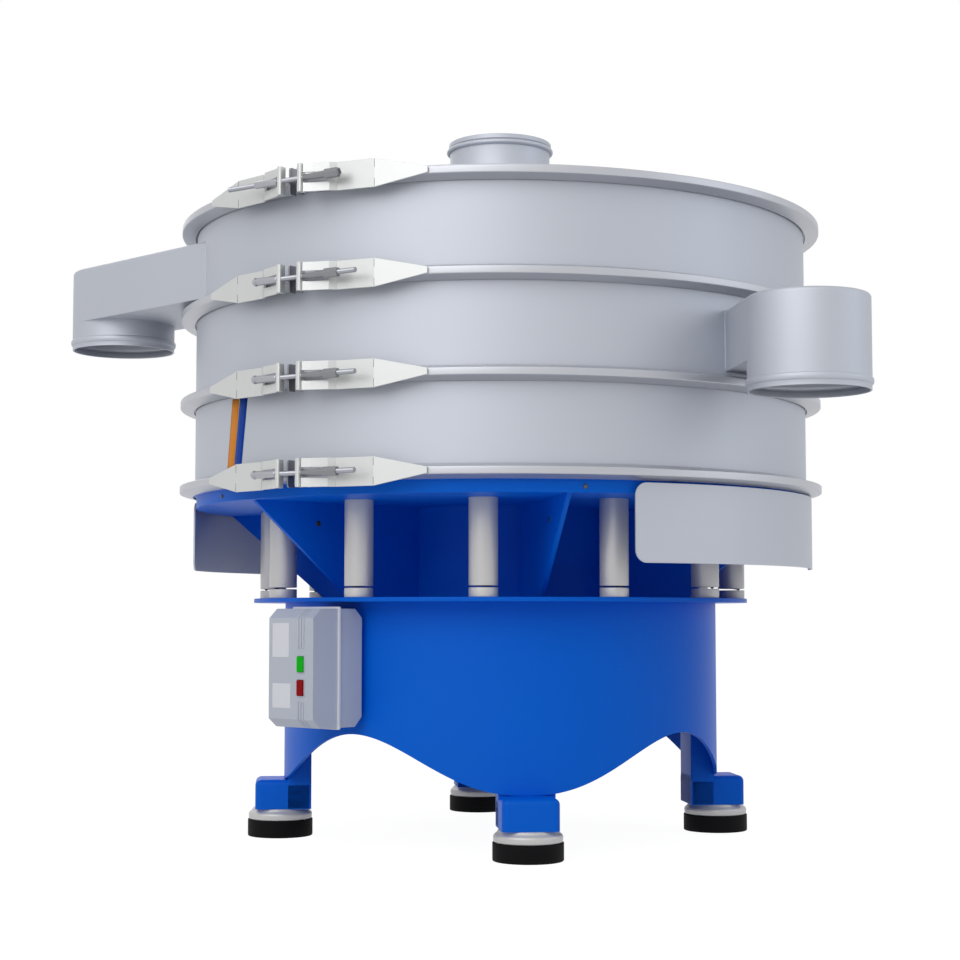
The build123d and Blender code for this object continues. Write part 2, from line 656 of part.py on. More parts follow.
def build_parts():
    """Every node of the sieve, by name, as one solid or a list of like solids."""
    sleeve_low = BASE_TOP_Z + SPRING_SEAT_H + SLEEVE_GAP
    seat_top = BASE_TOP_Z + SPRING_SEAT_H
    sleeve = prism(SLEEVE_R, sleeve_low, TABLE_Z)
    sleeve -= prism(SLEEVE_R - SLEEVE_WALL, sleeve_low, TABLE_Z)
    parts = {
        "base_drum": base_drum(),
        "legs": legs(),
        "foot_pads": at_feet(prism(PAD_R, 0, PAD_H, MID_SIDES)),
        "foot_caps": at_feet(foot_cap()),
        "spring_seats": at_springs(prism(SLEEVE_R, BASE_TOP_Z, seat_top)),
        "springs": at_springs(prism(SPRING_R, seat_top, TABLE_Z - SEAT)),
        "spring_sleeves": at_springs(sleeve),
        "table": table(),
        "motor_body": motor_body(),
        "motor_shaft": disc(SHAFT_R, SHAFT_LOW_Z, SHAFT_TOP_Z),
        "upper_weight": weight(UPPER_WEIGHT_R, UPPER_WEIGHT_Z),
        "lower_weight": weight(LOWER_WEIGHT_R, LOWER_WEIGHT_Z),
        "bottom_frame": frame("bottom", JOINT_Z[0], JOINT_Z[1]),
        "middle_frame": frame("middle", JOINT_Z[1], JOINT_Z[2]),
        "top_frame": frame("top", JOINT_Z[2], JOINT_Z[3]),
        "discharge_dome": discharge_dome(),
        "lower_screen": screen(JOINT_Z[1]),
        "upper_screen": screen(JOINT_Z[2]),
        "flange_gaskets": [gasket(JOINT_Z[0]), gasket(JOINT_Z[3])],
        "lid": lid(),
        "port_cover": port_cover(),
        "clamp_lugs": clamp_lugs(),
        "name_bands": [name_band(start) for start in BAND_STARTS],
        "band_spacers": band_spacers(),
        "box_bracket": on_box(box_bracket()),
        "box_body": on_box(box_body()),
        "box_cover": on_box(box_cover()),
        "start_button": on_box(button("start")),
        "stop_button": on_box(button("stop")),
    }
    bolts = [clamp_bolt(z, -BOLT_HEAD_END, BOLT_TAIL) for z in JOINT_Z[:3]]
    parts["clamp_bolts"] = bolts + [clamp_bolt(JOINT_Z[3], -BOLT_TAIL, NUT_END)]
    for number, joint_z in enumerate(JOINT_Z, 1):
        parts[f"clamp_ring_{number}"] = clamp_ring(joint_z)
        parts[f"clamp_nut_{number}"] = clamp_nut(joint_z)
    return parts


def solids_of(piece):
    """The separate solids of a node."""
    pieces = piece if isinstance(piece, list) else [piece]
    return [solid for one in pieces for solid in one.solids()]


PARTS = {name: solids_of(piece) for name, piece in build_parts().items()}
OUTLINE = Compound([solid for solids in PARTS.values() for solid in solids]).bounding_box()
AXIS_X = -(OUTLINE.min.X + OUTLINE.max.X) / 2
AXIS_Y = -(OUTLINE.min.Y + OUTLINE.max.Y) / 2

os.makedirs("parts", exist_ok=True)
for name, solids in PARTS.items():
    moved = [Pos(AXIS_X, AXIS_Y, 0) * solid for solid in solids]
    shape = Compound(moved) if len(moved) > 1 else moved[0]
    export_step(shape, f"parts/{name}.step")
print("machine axis at", round(AXIS_X, 2), round(AXIS_Y, 2))
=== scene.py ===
# %% [markdown]
# # A three-deck vibrating sieve
# The machine is a stack of round stainless decks, clamped one on another, that shakes on twelve
# springs over a blue base drum. The CAD model already holds the bodies and the joints. Here most
# pieces get a smooth outline, small details and a finish, in the same place as in the CAD. A few
# are already right as solids and only get a finish.

# %% Load the frame
import json
import bpy
import bmesh
import numpy as np
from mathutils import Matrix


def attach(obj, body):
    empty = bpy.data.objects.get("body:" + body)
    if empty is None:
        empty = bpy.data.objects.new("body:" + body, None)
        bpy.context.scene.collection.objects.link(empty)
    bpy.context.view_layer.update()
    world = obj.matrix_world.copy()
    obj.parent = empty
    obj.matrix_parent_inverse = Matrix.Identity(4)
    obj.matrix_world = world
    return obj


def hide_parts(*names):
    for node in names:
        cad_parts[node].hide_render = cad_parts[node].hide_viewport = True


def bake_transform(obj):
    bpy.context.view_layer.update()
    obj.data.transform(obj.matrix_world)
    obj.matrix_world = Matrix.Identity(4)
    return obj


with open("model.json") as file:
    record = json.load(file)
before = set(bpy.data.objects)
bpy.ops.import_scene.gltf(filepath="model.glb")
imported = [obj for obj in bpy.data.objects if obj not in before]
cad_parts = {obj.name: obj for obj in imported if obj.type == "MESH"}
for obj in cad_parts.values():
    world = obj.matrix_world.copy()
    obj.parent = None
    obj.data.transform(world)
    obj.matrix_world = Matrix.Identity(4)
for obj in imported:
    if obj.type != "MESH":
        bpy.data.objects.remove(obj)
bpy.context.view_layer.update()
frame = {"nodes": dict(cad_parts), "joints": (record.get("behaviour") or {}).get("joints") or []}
spin = next(joint for joint in frame["joints"] if joint["name"] == "rotor_spin")
HOME = np.array([spin["pos_m"][0], spin["pos_m"][1], 0.0])
print("machine axis at", HOME.round(4))

# %% [markdown]
# ## Grids of points
# Sheet metal is rolled, folded or pressed, so each outline is a smooth function of two numbers.
# A grid of such points, joined by four-sided faces, is all a surface needs. Sizes are in
# millimetres, in a local frame: X points away from the machine's axis, Y runs round it, Z is up.

# %% Surfaces from grids


def grid(points, wrap_rows=False, wrap_cols=False, keep=None):
    """Joins each point of a grid to the next in its row and column, closing round where asked."""
    rows, cols = points.shape[:2]
    row = np.arange(rows if wrap_rows else rows - 1)[:, None]
    col = np.arange(cols if wrap_cols else cols - 1)[None, :]
    row2, col2 = (row + 1) % rows, (col + 1) % cols
    corners = [row * cols + col, row * cols + col2, row2 * cols + col2, row2 * cols + col]
    faces = np.stack(np.broadcast_arrays(*corners), -1)
    faces = faces.reshape(-1, 4) if keep is None else faces[keep]
    return points.reshape(-1, 3), faces.tolist()


def rounded(outline, radius, steps=4):
    """Replaces each corner C by (1-t)(1-t)A + 2t(1-t)C + ttB, with A and B on its two sides."""
    corner = np.asarray(outline, float)
    cut = np.broadcast_to(np.asarray(radius, float), len(corner))
    back, ahead = np.roll(corner, 1, 0) - corner, np.roll(corner, -1, 0) - corner
    back_len = np.linalg.norm(back, axis=1)
    ahead_len = np.linalg.norm(ahead, axis=1)
    cut = np.minimum(cut, 0.48 * np.minimum(back_len, ahead_len))
    start = corner + back * (cut / back_len)[:, None]
    end = corner + ahead * (cut / ahead_len)[:, None]
    t = np.linspace(0, 1, steps + 1)[None, :, None]
    curve = (1 - t) ** 2 * start[:, None] + 2 * t * (1 - t) * corner[:, None] + t**2 * end[:, None]
    return curve.reshape(-1, 2)


def turned(profile, steps=240, start=0.0, sweep=360.0, keep=None, shut=True):
    """Carries a profile of (radius, height) round Z: (r cos a, r sin a, z)."""
    full = sweep == 360
    angle = np.radians(start + sweep * np.arange(steps + (not full)) / steps)[:, None]
    radius, height = np.asarray(profile, float).T
    points = np.stack([radius * np.cos(angle), radius * np.sin(angle), height + 0 * angle], -1)
    points, faces = grid(points, full, shut, keep)
    if not full:
        size = len(radius)
        faces += [list(range(size)), list(range(len(points) - size, len(points)))]
    return points, faces


def prism(outline, low, high):
    """The same outline at two heights, joined by sides and closed by two flat faces."""
    outline = np.asarray(outline, float)
    size = len(outline)
    levels = [np.c_[outline, np.full(size, height)] for height in (low, high)]
    points, faces = grid(np.stack(levels), False, True)
    return points, faces + [list(range(size)), list(range(size, 2 * size))]


def box(x_low, x_high, y_low, y_high, z_low, z_high):
    """A block between two corners."""
    plan = [(x_low, y_low), (x_high, y_low), (x_high, y_high), (x_low, y_high)]
    return prism(plan, z_low, z_high)


# %% [markdown] ## Places and pieces Many pieces repeat round the machine, so one function turns a
# local shape to its angle. Angle 0 faces the camera.

# %% Placing and making


def placed(part, angle=0.0, radius=0.0, height=0.0):
    """Moves a local shape out by a radius, turns it to an angle and lifts it."""
    points, faces = part
    a = np.radians(angle)
    x, y, z = points.T
    east = (radius + x) * np.sin(a) + y * np.cos(a)
    north = -(radius + x) * np.cos(a) + y * np.sin(a)
    return np.stack([east, north, z + height], -1), faces


def joined(parts):
    """Several shapes as one list of points and faces."""
    points, faces, offset = [], [], 0
    for part_points, part_faces in parts:
        points.append(part_points)
        faces += [[index + offset for index in face] for face in part_faces]
        offset += len(part_points)
    return np.concatenate(points), faces


MM_PER_METRE = 1000
SAME_POINT, NO_LENGTH = 1e-6, 1e-7
BEVEL_STEPS, BEVEL_FROM = 3, 30


def make(
    name,
    parts,
    body,
    material,
    replaces=(),
    bevel=0.0,
    solid=0.0,
    inward=-1,
    crease=32,
    outward=True,
    smooth=True,
):
    """Builds one named object at the origin from shapes in millimetres."""
    points, faces = joined(parts)
    mesh = bpy.data.meshes.new(name)
    mesh.from_pydata((points / MM_PER_METRE + HOME).tolist(), [], faces)
    work = bmesh.new()
    work.from_mesh(mesh)
    bmesh.ops.remove_doubles(work, verts=work.verts, dist=SAME_POINT)
    bmesh.ops.dissolve_degenerate(work, edges=work.edges, dist=NO_LENGTH)
    if outward:
        bmesh.ops.recalc_face_normals(work, faces=work.faces)
    work.to_mesh(mesh)
    work.free()
    count = len(mesh.polygons)
    centre, normal, area = np.zeros(3 * count), np.zeros(3 * count), np.zeros(count)
    mesh.polygons.foreach_get("center", centre)
    mesh.polygons.foreach_get("normal", normal)
    mesh.polygons.foreach_get("area", area)
    centre = centre.reshape(-1, 3) - centre.reshape(-1, 3).mean(0)
    if outward and ((centre * normal.reshape(-1, 3)).sum(1) * area).sum() < 0:
        mesh.flip_normals()
    if smooth:
        mesh.shade_smooth()
        mesh.set_sharp_from_angle(angle=np.radians(crease))
    mesh.materials.append(material)
    obj = bpy.data.objects.new(name, mesh)
    bpy.context.scene.collection.objects.link(obj)
    if solid:
        wall = obj.modifiers.new("Wall", "SOLIDIFY")
        wall.thickness, wall.offset = solid / MM_PER_METRE, inward
    if bevel:
        edge = obj.modifiers.new("Edges", "BEVEL")
        edge.width, edge.segments, edge.limit_method = bevel / MM_PER_METRE, BEVEL_STEPS, "ANGLE"
        edge.angle_limit = np.radians(BEVEL_FROM)
    if body:
        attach(obj, body)
    if replaces:
        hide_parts(*replaces)
    print(f"{name}: {count} faces")
    return obj


# %% [markdown]
# ## Finishes
# Rolled stainless sheet is never quite even: its brightness clouds slowly and a fine grain runs
# round it. One noise texture clouds colour and roughness, and a second, stretched one raises the
# grain as bump. Both read Object coordinates, so they stay fixed to the metal.

# %% Finish maker


def srgb(*levels):
    """Linear colour from three levels of 0 to 255."""
    level = np.array(levels) / 255
    linear = np.where(level <= 0.04045, level / 12.92, ((level + 0.055) / 1.055) ** 2.4)
    return (*linear.tolist(), 1.0)


ROUGH_SPREAD, GRAIN_DEPTH = 0.06, 0.0005


def finish(name, colour, roughness, cloud, cloud_scale, grain, stretch, **sockets):
    """Surface whose colour and roughness cloud slowly, with its grain raised as bump."""
    material = bpy.data.materials.new(name)
    material.use_nodes = True
    nodes, links = material.node_tree.nodes, material.node_tree.links
    surface = nodes["Principled BSDF"]
    place = nodes.new("ShaderNodeTexCoord")
    slow = nodes.new("ShaderNodeTexNoise")
    slow.inputs["Scale"].default_value = cloud_scale
    slow.inputs["Detail"].default_value = 5
    links.new(place.outputs["Object"], slow.inputs["Vector"])
    tint = nodes.new("ShaderNodeMix")
    tint.data_type = "RGBA"
    tint.inputs["A"].default_value = (*[level * (1 - cloud) for level in colour[:3]], 1)
    tint.inputs["B"].default_value = (*[min(1, level * (1 + cloud)) for level in colour[:3]], 1)
    links.new(slow.outputs["Fac"], tint.inputs["Factor"])
    links.new(tint.outputs["Result"], surface.inputs["Base Color"])
    dull = nodes.new("ShaderNodeMapRange")
    dull.inputs["To Min"].default_value = roughness - ROUGH_SPREAD
    dull.inputs["To Max"].default_value = roughness + ROUGH_SPREAD
    links.new(slow.outputs["Fac"], dull.inputs["Value"])
    links.new(dull.outputs["Result"], surface.inputs["Roughness"])
    turn = nodes.new("ShaderNodeMapping")
    turn.inputs["Scale"].default_value = stretch
    fine = nodes.new("ShaderNodeTexNoise")
    fine.inputs["Scale"].default_value = 10
    fine.inputs["Detail"].default_value = 3
    bump = nodes.new("ShaderNodeBump")
    bump.inputs["Strength"].default_value = grain
    bump.inputs["Distance"].default_value = GRAIN_DEPTH
    links.new(place.outputs["Object"], turn.inputs["Vector"])
    links.new(turn.outputs["Vector"], fine.inputs["Vector"])
    links.new(fine.outputs["Fac"], bump.inputs["Height"])
    links.new(bump.outputs["Normal"], surface.inputs["Normal"])
    for socket, value in sockets.items():
        surface.inputs[socket.replace("_", " ")].default_value = value
    return material


# %% [markdown]
# Each finish has a name, a colour, a roughness, how much and how finely it clouds, how strong its
# grain is and how the grain is stretched. Rolled sheet has its grain drawn out round the drum.

# %% The finishes of this machine
ROLLED = (6, 6, 90)
PAINT_SHINE, BUTTON_SHINE = 0.12, 0.1
DECK = finish("deck_stainless", srgb(192, 196, 205), 0.55, 0.04, 5, 0.08, ROLLED, Metallic=0.6)
RING = finish("ring_stainless", srgb(190, 192, 198), 0.42, 0.04, 8, 0.08, ROLLED, Metallic=0.7)
BRIGHT = finish(
    "turned_stainless", srgb(168, 170, 176), 0.3, 0.05, 14, 0.08, (40, 40, 40), Metallic=0.95
)
PLATED = finish("plated_nut", srgb(138, 139, 143), 0.34, 0.08, 20, 0.12, (40, 40, 40), Metallic=0.9)
LUG = finish("lug_stainless", srgb(212, 214, 213), 0.4, 0.03, 12, 0.06, (20, 20, 120), Metallic=0.5)
BLUE = finish(
    "blue_enamel", srgb(0, 104, 224), 0.42, 0.04, 4, 0.05, (25, 25, 25),
    Specular_IOR_Level=PAINT_SHINE,
)
RUBBER = finish(
    "black_rubber", srgb(7, 7, 9), 0.7, 0.15, 20, 0.25, (80, 80, 80),
    Specular_IOR_Level=PAINT_SHINE,
)
CAPS = finish(
    "sleeve_steel", srgb(216, 214, 210), 0.44, 0.04, 15, 0.08, (40, 40, 40), Metallic=0.25
)
SPRING = finish("spring_wire", srgb(95, 97, 100), 0.35, 0.10, 30, 0.15, (60, 60, 60), Metallic=1.0)
IRON = finish("machined_iron", srgb(92, 92, 95), 0.5, 0.10, 18, 0.2, (50, 50, 50), Metallic=0.9)
SHAFT = finish(
    "ground_shaft", srgb(165, 167, 172), 0.25, 0.05, 20, 0.1, (20, 20, 200), Metallic=1.0
)
MOTOR = finish("motor_enamel", srgb(22, 42, 92), 0.45, 0.08, 10, 0.2, (50, 50, 50))
BOX = finish("box_enamel", srgb(196, 202, 214), 0.42, 0.02, 9, 0.12, (70, 70, 70))
SEAL = finish("pale_silicone", srgb(205, 204, 196), 0.55, 0.05, 20, 0.1, (60, 60, 60))
GREEN = finish(
    "green_button", srgb(0, 190, 20), 0.4, 0.04, 40, 0.05, (60, 60, 60),
    Specular_IOR_Level=BUTTON_SHINE,
)
RED = finish(
    "red_button", srgb(150, 0, 8), 0.4, 0.04, 40, 0.05, (60, 60, 60),
    Specular_IOR_Level=BUTTON_SHINE,
)
BLANK = finish("blank_plate", srgb(232, 234, 240), 0.5, 0.02, 30, 0.05, (60, 60, 60))
ORANGE = finish(
    "orange_stripe", srgb(228, 142, 44), 0.45, 0.03, 30, 0.04, (60, 60, 60),
    Specular_IOR_Level=PAINT_SHINE,
)
STRIPE = finish(
    "blue_stripe", srgb(0, 62, 160), 0.45, 0.03, 30, 0.04, (60, 60, 60),
    Specular_IOR_Level=PAINT_SHINE,
)
PORT = finish(
    "clear_cover", srgb(186, 206, 194), 0.12, 0.02, 10, 0.02, (30, 30, 30),
    Transmission_Weight=0.75, IOR=1.49,
)
print(len(bpy.data.materials), "finishes")

# %% [markdown]
# ## Deck frames
# Each deck is a wall of 3 mm sheet, rolled to a drum, with a flange turned out at each end. The
# outlet is cut through the wall. Turning a closed profile makes the wall, and the faces that lie in
# the outlet's window are left out of the grid.

# %% Sizes shared by the decks
JOINTS = (677.0, 845.0, 1018.5, 1192.0)
DECK_R, WALL, FLANGE_R = 610.0, 3.0, 629.5
PIPE_R, LIP_R, REACH, OFFSET = 105.5, 105.0, 804.5, 450.0
WINDOW_FROM, WINDOW_TO = 35.5, 64
RUN = np.sqrt(REACH**2 - OFFSET**2)
TURN = np.degrees(np.arcsin(OFFSET / REACH))
SPOUTS = {"bottom": 180.0, "middle": 40.9, "top": -99.5}
print("duct run", RUN.round(1), "turn", TURN.round(2))

# %% [markdown]
# Two strips of faces are left out between the window's sill and its head, one outside and one
# inside. New faces then close the opening along its sill, its head and its two ends.

# %% Deck walls


def deck_wall(low, high, floor, top):
    """Closed wall profile turned round the axis, without the window, whose edges are closed."""
    back = [(DECK_R, 7), (616, 7), (FLANGE_R, 0.1)]
    sill, head = floor + 6, top - 6
    lower = [(r, low + dz) for r, dz in back[::-1]]
    upper = [(r, high - dz) for r, dz in back]
    inside = [(DECK_R - WALL, z) for z in (high, head, sill, low)]
    profile = lower + [(DECK_R, sill), (DECK_R, head)] + upper + inside
    steps, size = 360, len(profile)
    middle = np.arange(steps) + 0.5
    window = np.flatnonzero((middle > WINDOW_FROM) & (middle < WINDOW_TO))
    sill_out, head_out, head_in, sill_in = 3, 4, 9, 10
    keep = np.ones((steps, size), bool)
    keep[np.ix_(window, [sill_out, head_in])] = False
    points, faces = turned(profile, steps, keep=keep)
    here, beyond = window * size, (window + 1) * size
    for outer, inner in ((sill_out, sill_in), (head_out, head_in)):
        corners = [here + outer, beyond + outer, beyond + inner, here + inner]
        faces += np.stack(corners, 1).tolist()
    edge = (sill_out, head_out, head_in, sill_in)
    for step in (window[0], window[-1] + 1):
        faces.append([int(step) * size + column for column in edge])
    return points, faces


def levels(name):
    """Heights of one deck: lower flange, upper flange, duct floor, duct top and pipe mouth."""
    index = list(SPOUTS).index(name)
    low, high = JOINTS[index], JOINTS[index + 1]
    return low + 3, high - 3, low + 20.5, high - 42, low - 33


# %% [markdown]
# ## Outlets
# The duct leaves the wall on a tangent, and its far end is a half circle that turns down into the
# round pipe. Outside, top, floor and pipe are one sheet. Its three grids share their edge points,
# so they merge without a seam, and a Solidify modifier then gives the sheet its 3 mm.

# %% Duct sheet
ALONG = np.r_[0, 0.006, np.linspace(0.12, 1, 8)]
BEND = np.radians(np.linspace(-90, 90, 49))


def duct_shell(floor, top, edge=7.0):
    """Points c(s) + (R - inset) n(u): c runs along the middle line and n turns round the end."""
    t = np.radians(np.linspace(0, 90, 7))
    inset = np.r_[PIPE_R, edge * (1 - np.sin(t)), 0]
    height = np.r_[top, top - edge * (1 - np.cos(t)), floor]
    share = np.r_[ALONG, np.ones(len(BEND)), ALONG[::-1]][:, None]
    normal_x = np.r_[0 * ALONG, np.cos(BEND), 0 * ALONG][:, None]
    normal_y = np.r_[0 * ALONG - 1, np.sin(BEND), 0 * ALONG + 1][:, None]
    y = OFFSET + normal_y * (PIPE_R - inset)
    start = np.sqrt((DECK_R - 1.5) ** 2 - y**2)
    x = start + (RUN - start) * share + normal_x * (PIPE_R - inset)
    return grid(np.stack([x, y, height + 0 * x], -1))


def duct_floor(height):
    """Ruled between the drum's wall and the near half of the pipe, y = offset + R sin b."""
    y = OFFSET + PIPE_R * np.sin(BEND)[None, :]
    near = np.sqrt((DECK_R - 1.5) ** 2 - y**2)
    x = near + (RUN - PIPE_R * np.cos(BEND)[None, :] - near) * ALONG[:, None]
    return grid(np.stack([x, y + 0 * x, height + 0 * x], -1))


def outlet_pipe(floor, mouth):
    """Outside of the pipe, with a rolled bead above its plain lip."""
    t = np.linspace(0, np.pi, 13)
    bead = np.c_[PIPE_R + 3.0 * np.sin(t), mouth + 15 + 6 * np.cos(t)]
    lip = [(LIP_R, mouth + 8), (LIP_R, mouth + 0.8), (LIP_R, mouth)]
    outside = np.r_[[(PIPE_R, floor)], bead, lip]
    points, faces = turned(outside, 96, shut=False)
    return points + [RUN, OFFSET, 0], faces


def weld(top, floor):
    """A thin bead laid round the duct where it meets the wall."""
    side = PIPE_R + 0.3
    left, right = OFFSET - side, OFFSET + side
    ring = rounded([(left, floor), (right, floor), (right, top), (left, top)], 6, 4)
    count = 220
    length = np.r_[0, np.cumsum(np.linalg.norm(np.diff(np.r_[ring, ring[:1]], axis=0), axis=1))]
    at = np.linspace(0, length[-1], count, endpoint=False)
    y = np.interp(at, length, np.r_[ring[:, 0], ring[0, 0]])
    z = np.interp(at, length, np.r_[ring[:, 1], ring[0, 1]])
    path = np.stack([np.sqrt(DECK_R**2 - y**2), y, z], -1)
    ripple = 1.1 + 0.1 * np.sin(np.arange(count) * 2.1)
    return tube(path, ripple, 8)


# %% [markdown]
# Wires, welds and springs are all a small circle carried along a path. At each point the circle
# lies across the path, spanned by two directions that are square to it.

# %% Tubes


def tube(path, radius, sides=10, closed=True):
    """Points p + r (cos b N + sin b B), with N and B square to the path."""
    path = np.asarray(path, float)
    ahead = np.roll(path, -1, 0) - np.roll(path, 1, 0)
    if not closed:
        ahead = np.gradient(path, axis=0)
    ahead /= np.linalg.norm(ahead, axis=1)[:, None]
    side = np.cross(ahead, np.array([0.31, 0.17, 0.93]))
    side /= np.linalg.norm(side, axis=1)[:, None]
    lift = np.cross(ahead, side)
    b = np.linspace(0, 2 * np.pi, sides, endpoint=False)[None, :, None]
    r = np.broadcast_to(np.asarray(radius, float), len(path))[:, None, None]
    points = path[:, None] + r * (np.cos(b) * side[:, None] + np.sin(b) * lift[:, None])
    points, faces = grid(points, closed, True)
    if not closed:
        faces += [list(range(sides)), list(range(len(points) - sides, len(points)))]
    return points, faces


# %% [markdown]
# A deck is its wall with the weld on it, and its outlet is a sheet of its own. Both are turned by
# the heading at which the duct's pipe comes to stand where the photograph has it.

# %% Decks with their outlets
for name, polar in SPOUTS.items():
    low, high, floor, top, mouth = levels(name)
    heading = polar - TURN
    wall = [placed(deck_wall(low, high, floor, top), heading), placed(weld(top, floor), heading)]
    grids = (duct_shell(floor, top), duct_floor(floor), outlet_pipe(floor, mouth))
    sheet = [placed(part, heading) for part in grids]
    make(f"deck_{name}", wall, "vibrating_stack", DECK, [f"{name}_frame"])
    make(f"outlet_{name}", sheet, "vibrating_stack", DECK, solid=WALL, crease=40)

# %% [markdown]
# ## Clamp rings
# Two flanges are pulled together by a band with a V section: as the band closes, its slopes wedge
# the flanges. It is split, so its closed profile is turned through slightly less than a full turn.

# %% V rings
CLAMP, RING_R, HALF_GAP = -33.3, 640, 12.0
gap = np.degrees(np.arcsin(HALF_GAP / RING_R))
for index, joint in enumerate(JOINTS, 1):
    section = [(613, 13.5), (RING_R, 6.5), (RING_R, -6.5), (613, -13.5), (635.5, 0)]
    profile = rounded(section, [0.8, 1.6, 1.6, 0.8, 1.5], 4) + [0, joint]
    ring = placed(turned(profile, 300, CLAMP + gap, 360 - 2 * gap))
    make(f"ring_{index}", [ring], "vibrating_stack", RING, [f"clamp_ring_{index}"])

# %% [markdown]
# ## Lid, inlet and inspection port
# The lid is a shallow dome of thin sheet, spun to shape, with the feed neck in its middle and a
# smaller collar beside it. Both necks are turned profiles. The dome rises on a straight slope from
# its edge to the land round the neck, with a small bulge added in between.

# %% Dome and necks
FACE, EDGE, LAND = 1195.0, 1206.8, 1294.8
NECK_R, LAND_R, BULGE = 98.5, 132, 16
PORT_R, PORT_TOP, PORT_ANGLE, PORT_AT = 85, 1336, -108, 205


def dome(offset):
    """Radius and height from the rim to the land, bulged a little above the straight line."""
    t = np.linspace(0, 1, 25)
    radius = DECK_R + (LAND_R - DECK_R) * t
    height = EDGE + (LAND - EDGE) * t + BULGE * t * (1 - t)
    return np.c_[radius - 3 * (t == 0) * (offset > 0), height - offset]


neck = [(NECK_R, 1390), (99.5, 1391), (103.5, 1391), (104.5, 1390), (104.5, 1383), (103.5, 1381.5)]
bead_t = np.linspace(-np.pi / 2, np.pi / 2, 13)
bead = np.c_[102 + 6.5 * np.cos(bead_t), 1375.5 - 5.5 * np.sin(bead_t)]
root = [(101.5, 1366), (101.5, LAND + 5), (103, LAND + 1.5), (106.5, LAND)]
skirt_line = [(613, 1205), (FLANGE_R, FACE + 0.1), (FLANGE_R, FACE), (DECK_R - WALL, FACE)]
shell = np.r_[neck, bead, root, dome(0)[::-1], skirt_line, dome(3)]
lid = np.r_[shell, [(NECK_R, LAND - 3)]]
make("lid_shell", [placed(turned(lid, 300))], "vibrating_stack", DECK, ["lid"])
collar_line = [(82, 1262), (PORT_R, 1262), (PORT_R, PORT_TOP), (82, PORT_TOP)]
collar = placed(turned(rounded(collar_line, 0.8, 2), 120), PORT_ANGLE, PORT_AT)
make("port_collar", [collar], "vibrating_stack", DECK)
cap_line = [(0, PORT_TOP), (85.2, PORT_TOP), (85.2, 1328), (91, 1328), (91, 1340), (0, 1340)]
cap = placed(turned(rounded(cap_line, [0, 0.8, 0.5, 0.8, 2, 0], 3), 120), PORT_ANGLE, PORT_AT)
make("port_lid", [cap], "vibrating_stack", PORT, ["port_cover"])

# %% [markdown]
# ## Clamp lugs
# Each end of a ring carries a plate that is folded twice and forked at its tip. A path in plan,
# with a height at each station, gives the plate. The four rows of its grid lie at the outer edges
# and at the slot, and the middle strip is left out beyond the slot's end.

# %% Folded plates
BOLT_R, LUG_R, CREASE_R = 665.0, 644.1, 645.9


def lug(side):
    """Grid of plan stations by four heights, mirrored to a side, with the fork's slot left out."""
    stations = np.radians([22.3, 18.0, 13.8, 10.5, 7.4])
    plan = np.c_[LUG_R * np.cos(stations), LUG_R * np.sin(stations)]
    plan[:3] = np.linspace(plan[0], plan[2], 3)
    plan[2:] = np.linspace(plan[2], plan[4], 3)
    plan = np.r_[plan, [(648.2, 72), (658, 42), (BOLT_R, 27)]]
    half = np.array([5.5, 15.2, 25, 25, 25, 25, 25, 25])
    slot = np.minimum(9, half * 0.4)
    rows = np.stack([-half, -slot, slot, half], 1)
    points = np.stack([np.repeat(plan[:, :1], 4, 1), np.repeat(plan[:, 1:], 4, 1) * side, rows], -1)
    keep = np.ones((7, 3), bool)
    keep[5:, 1] = False
    return grid(points, keep=keep)


def barrel(side):
    """Thick bar at the fork's tip, rounded outside, that the bolt pulls on."""
    plan = rounded([(657.7, 18), (672.3, 18), (672.3, 27), (657.7, 27)], [1, 3.2, 3.2, 1], 5)
    return prism(plan * [1, side], -25, 25)


def tongue(side):
    """End plate of a ring, upright across its cut end, with two rounded outer corners."""
    plan = rounded([(641, -24), (659, -24), (659, 24), (641, 24)], [0.5, 5, 5, 0.5], 5)
    points, faces = prism(plan, *sorted((7.0 * side, 10.0 * side)))
    return points[:, [0, 2, 1]], faces


plates, barrels, tongues = [], [], []
for joint in JOINTS:
    for side in (-1, 1):
        plates.append(placed(lug(side), CLAMP, 0, joint))
        barrels.append(placed(barrel(side), CLAMP, 0, joint))
        tongues.append(placed(tongue(side), CLAMP, 0, joint))
make(
    "lug_plates", plates, "vibrating_stack", LUG, ["clamp_lugs"],
    bevel=0.5, solid=4.0, inward=0, outward=False, smooth=False,
)
make("lug_barrels", barrels, "vibrating_stack", LUG, bevel=0.5)
# Thin dark strips along each fold line of the plates are painted shade in the creases.
crease_shade_lines = []
for joint in JOINTS:
    for side in (-1, 1):
        for angle, reach in ((13.8, 23.5), (7.4, 24.6)):
            a = np.radians(angle) * side
            out, along = CREASE_R * np.cos(a), CREASE_R * np.sin(a)
            for low, high in ((9.5, reach), (-reach, -9.5)):
                line = box(out, out + 0.4, along - 0.35, along + 0.35, low, high)
                crease_shade_lines.append(placed(line, CLAMP, 0, joint))
make("lug_crease_shade", crease_shade_lines, "vibrating_stack", IRON)
make("lug_tongues", tongues, "vibrating_stack", PLATED, bevel=0.5)

# %% [markdown]
# ## Bolts and nuts
# The bolt's thread is a helix: its radius depends on the place along the bolt minus the turn
# angle, so the same wave winds round it. The nut is a tapered sleeve with a hexagon for the
# spanner. Both are turned about Z and then laid along the clamp.

# %% Threads, heads and nuts


def laid(part, joint):
    """Turns a shape's Z into the clamp's tangent and moves it to the bolt's line."""
    points, faces = part
    return placed((points[:, [0, 2, 1]] + [BOLT_R, 0, 0], faces), CLAMP, 0, joint)


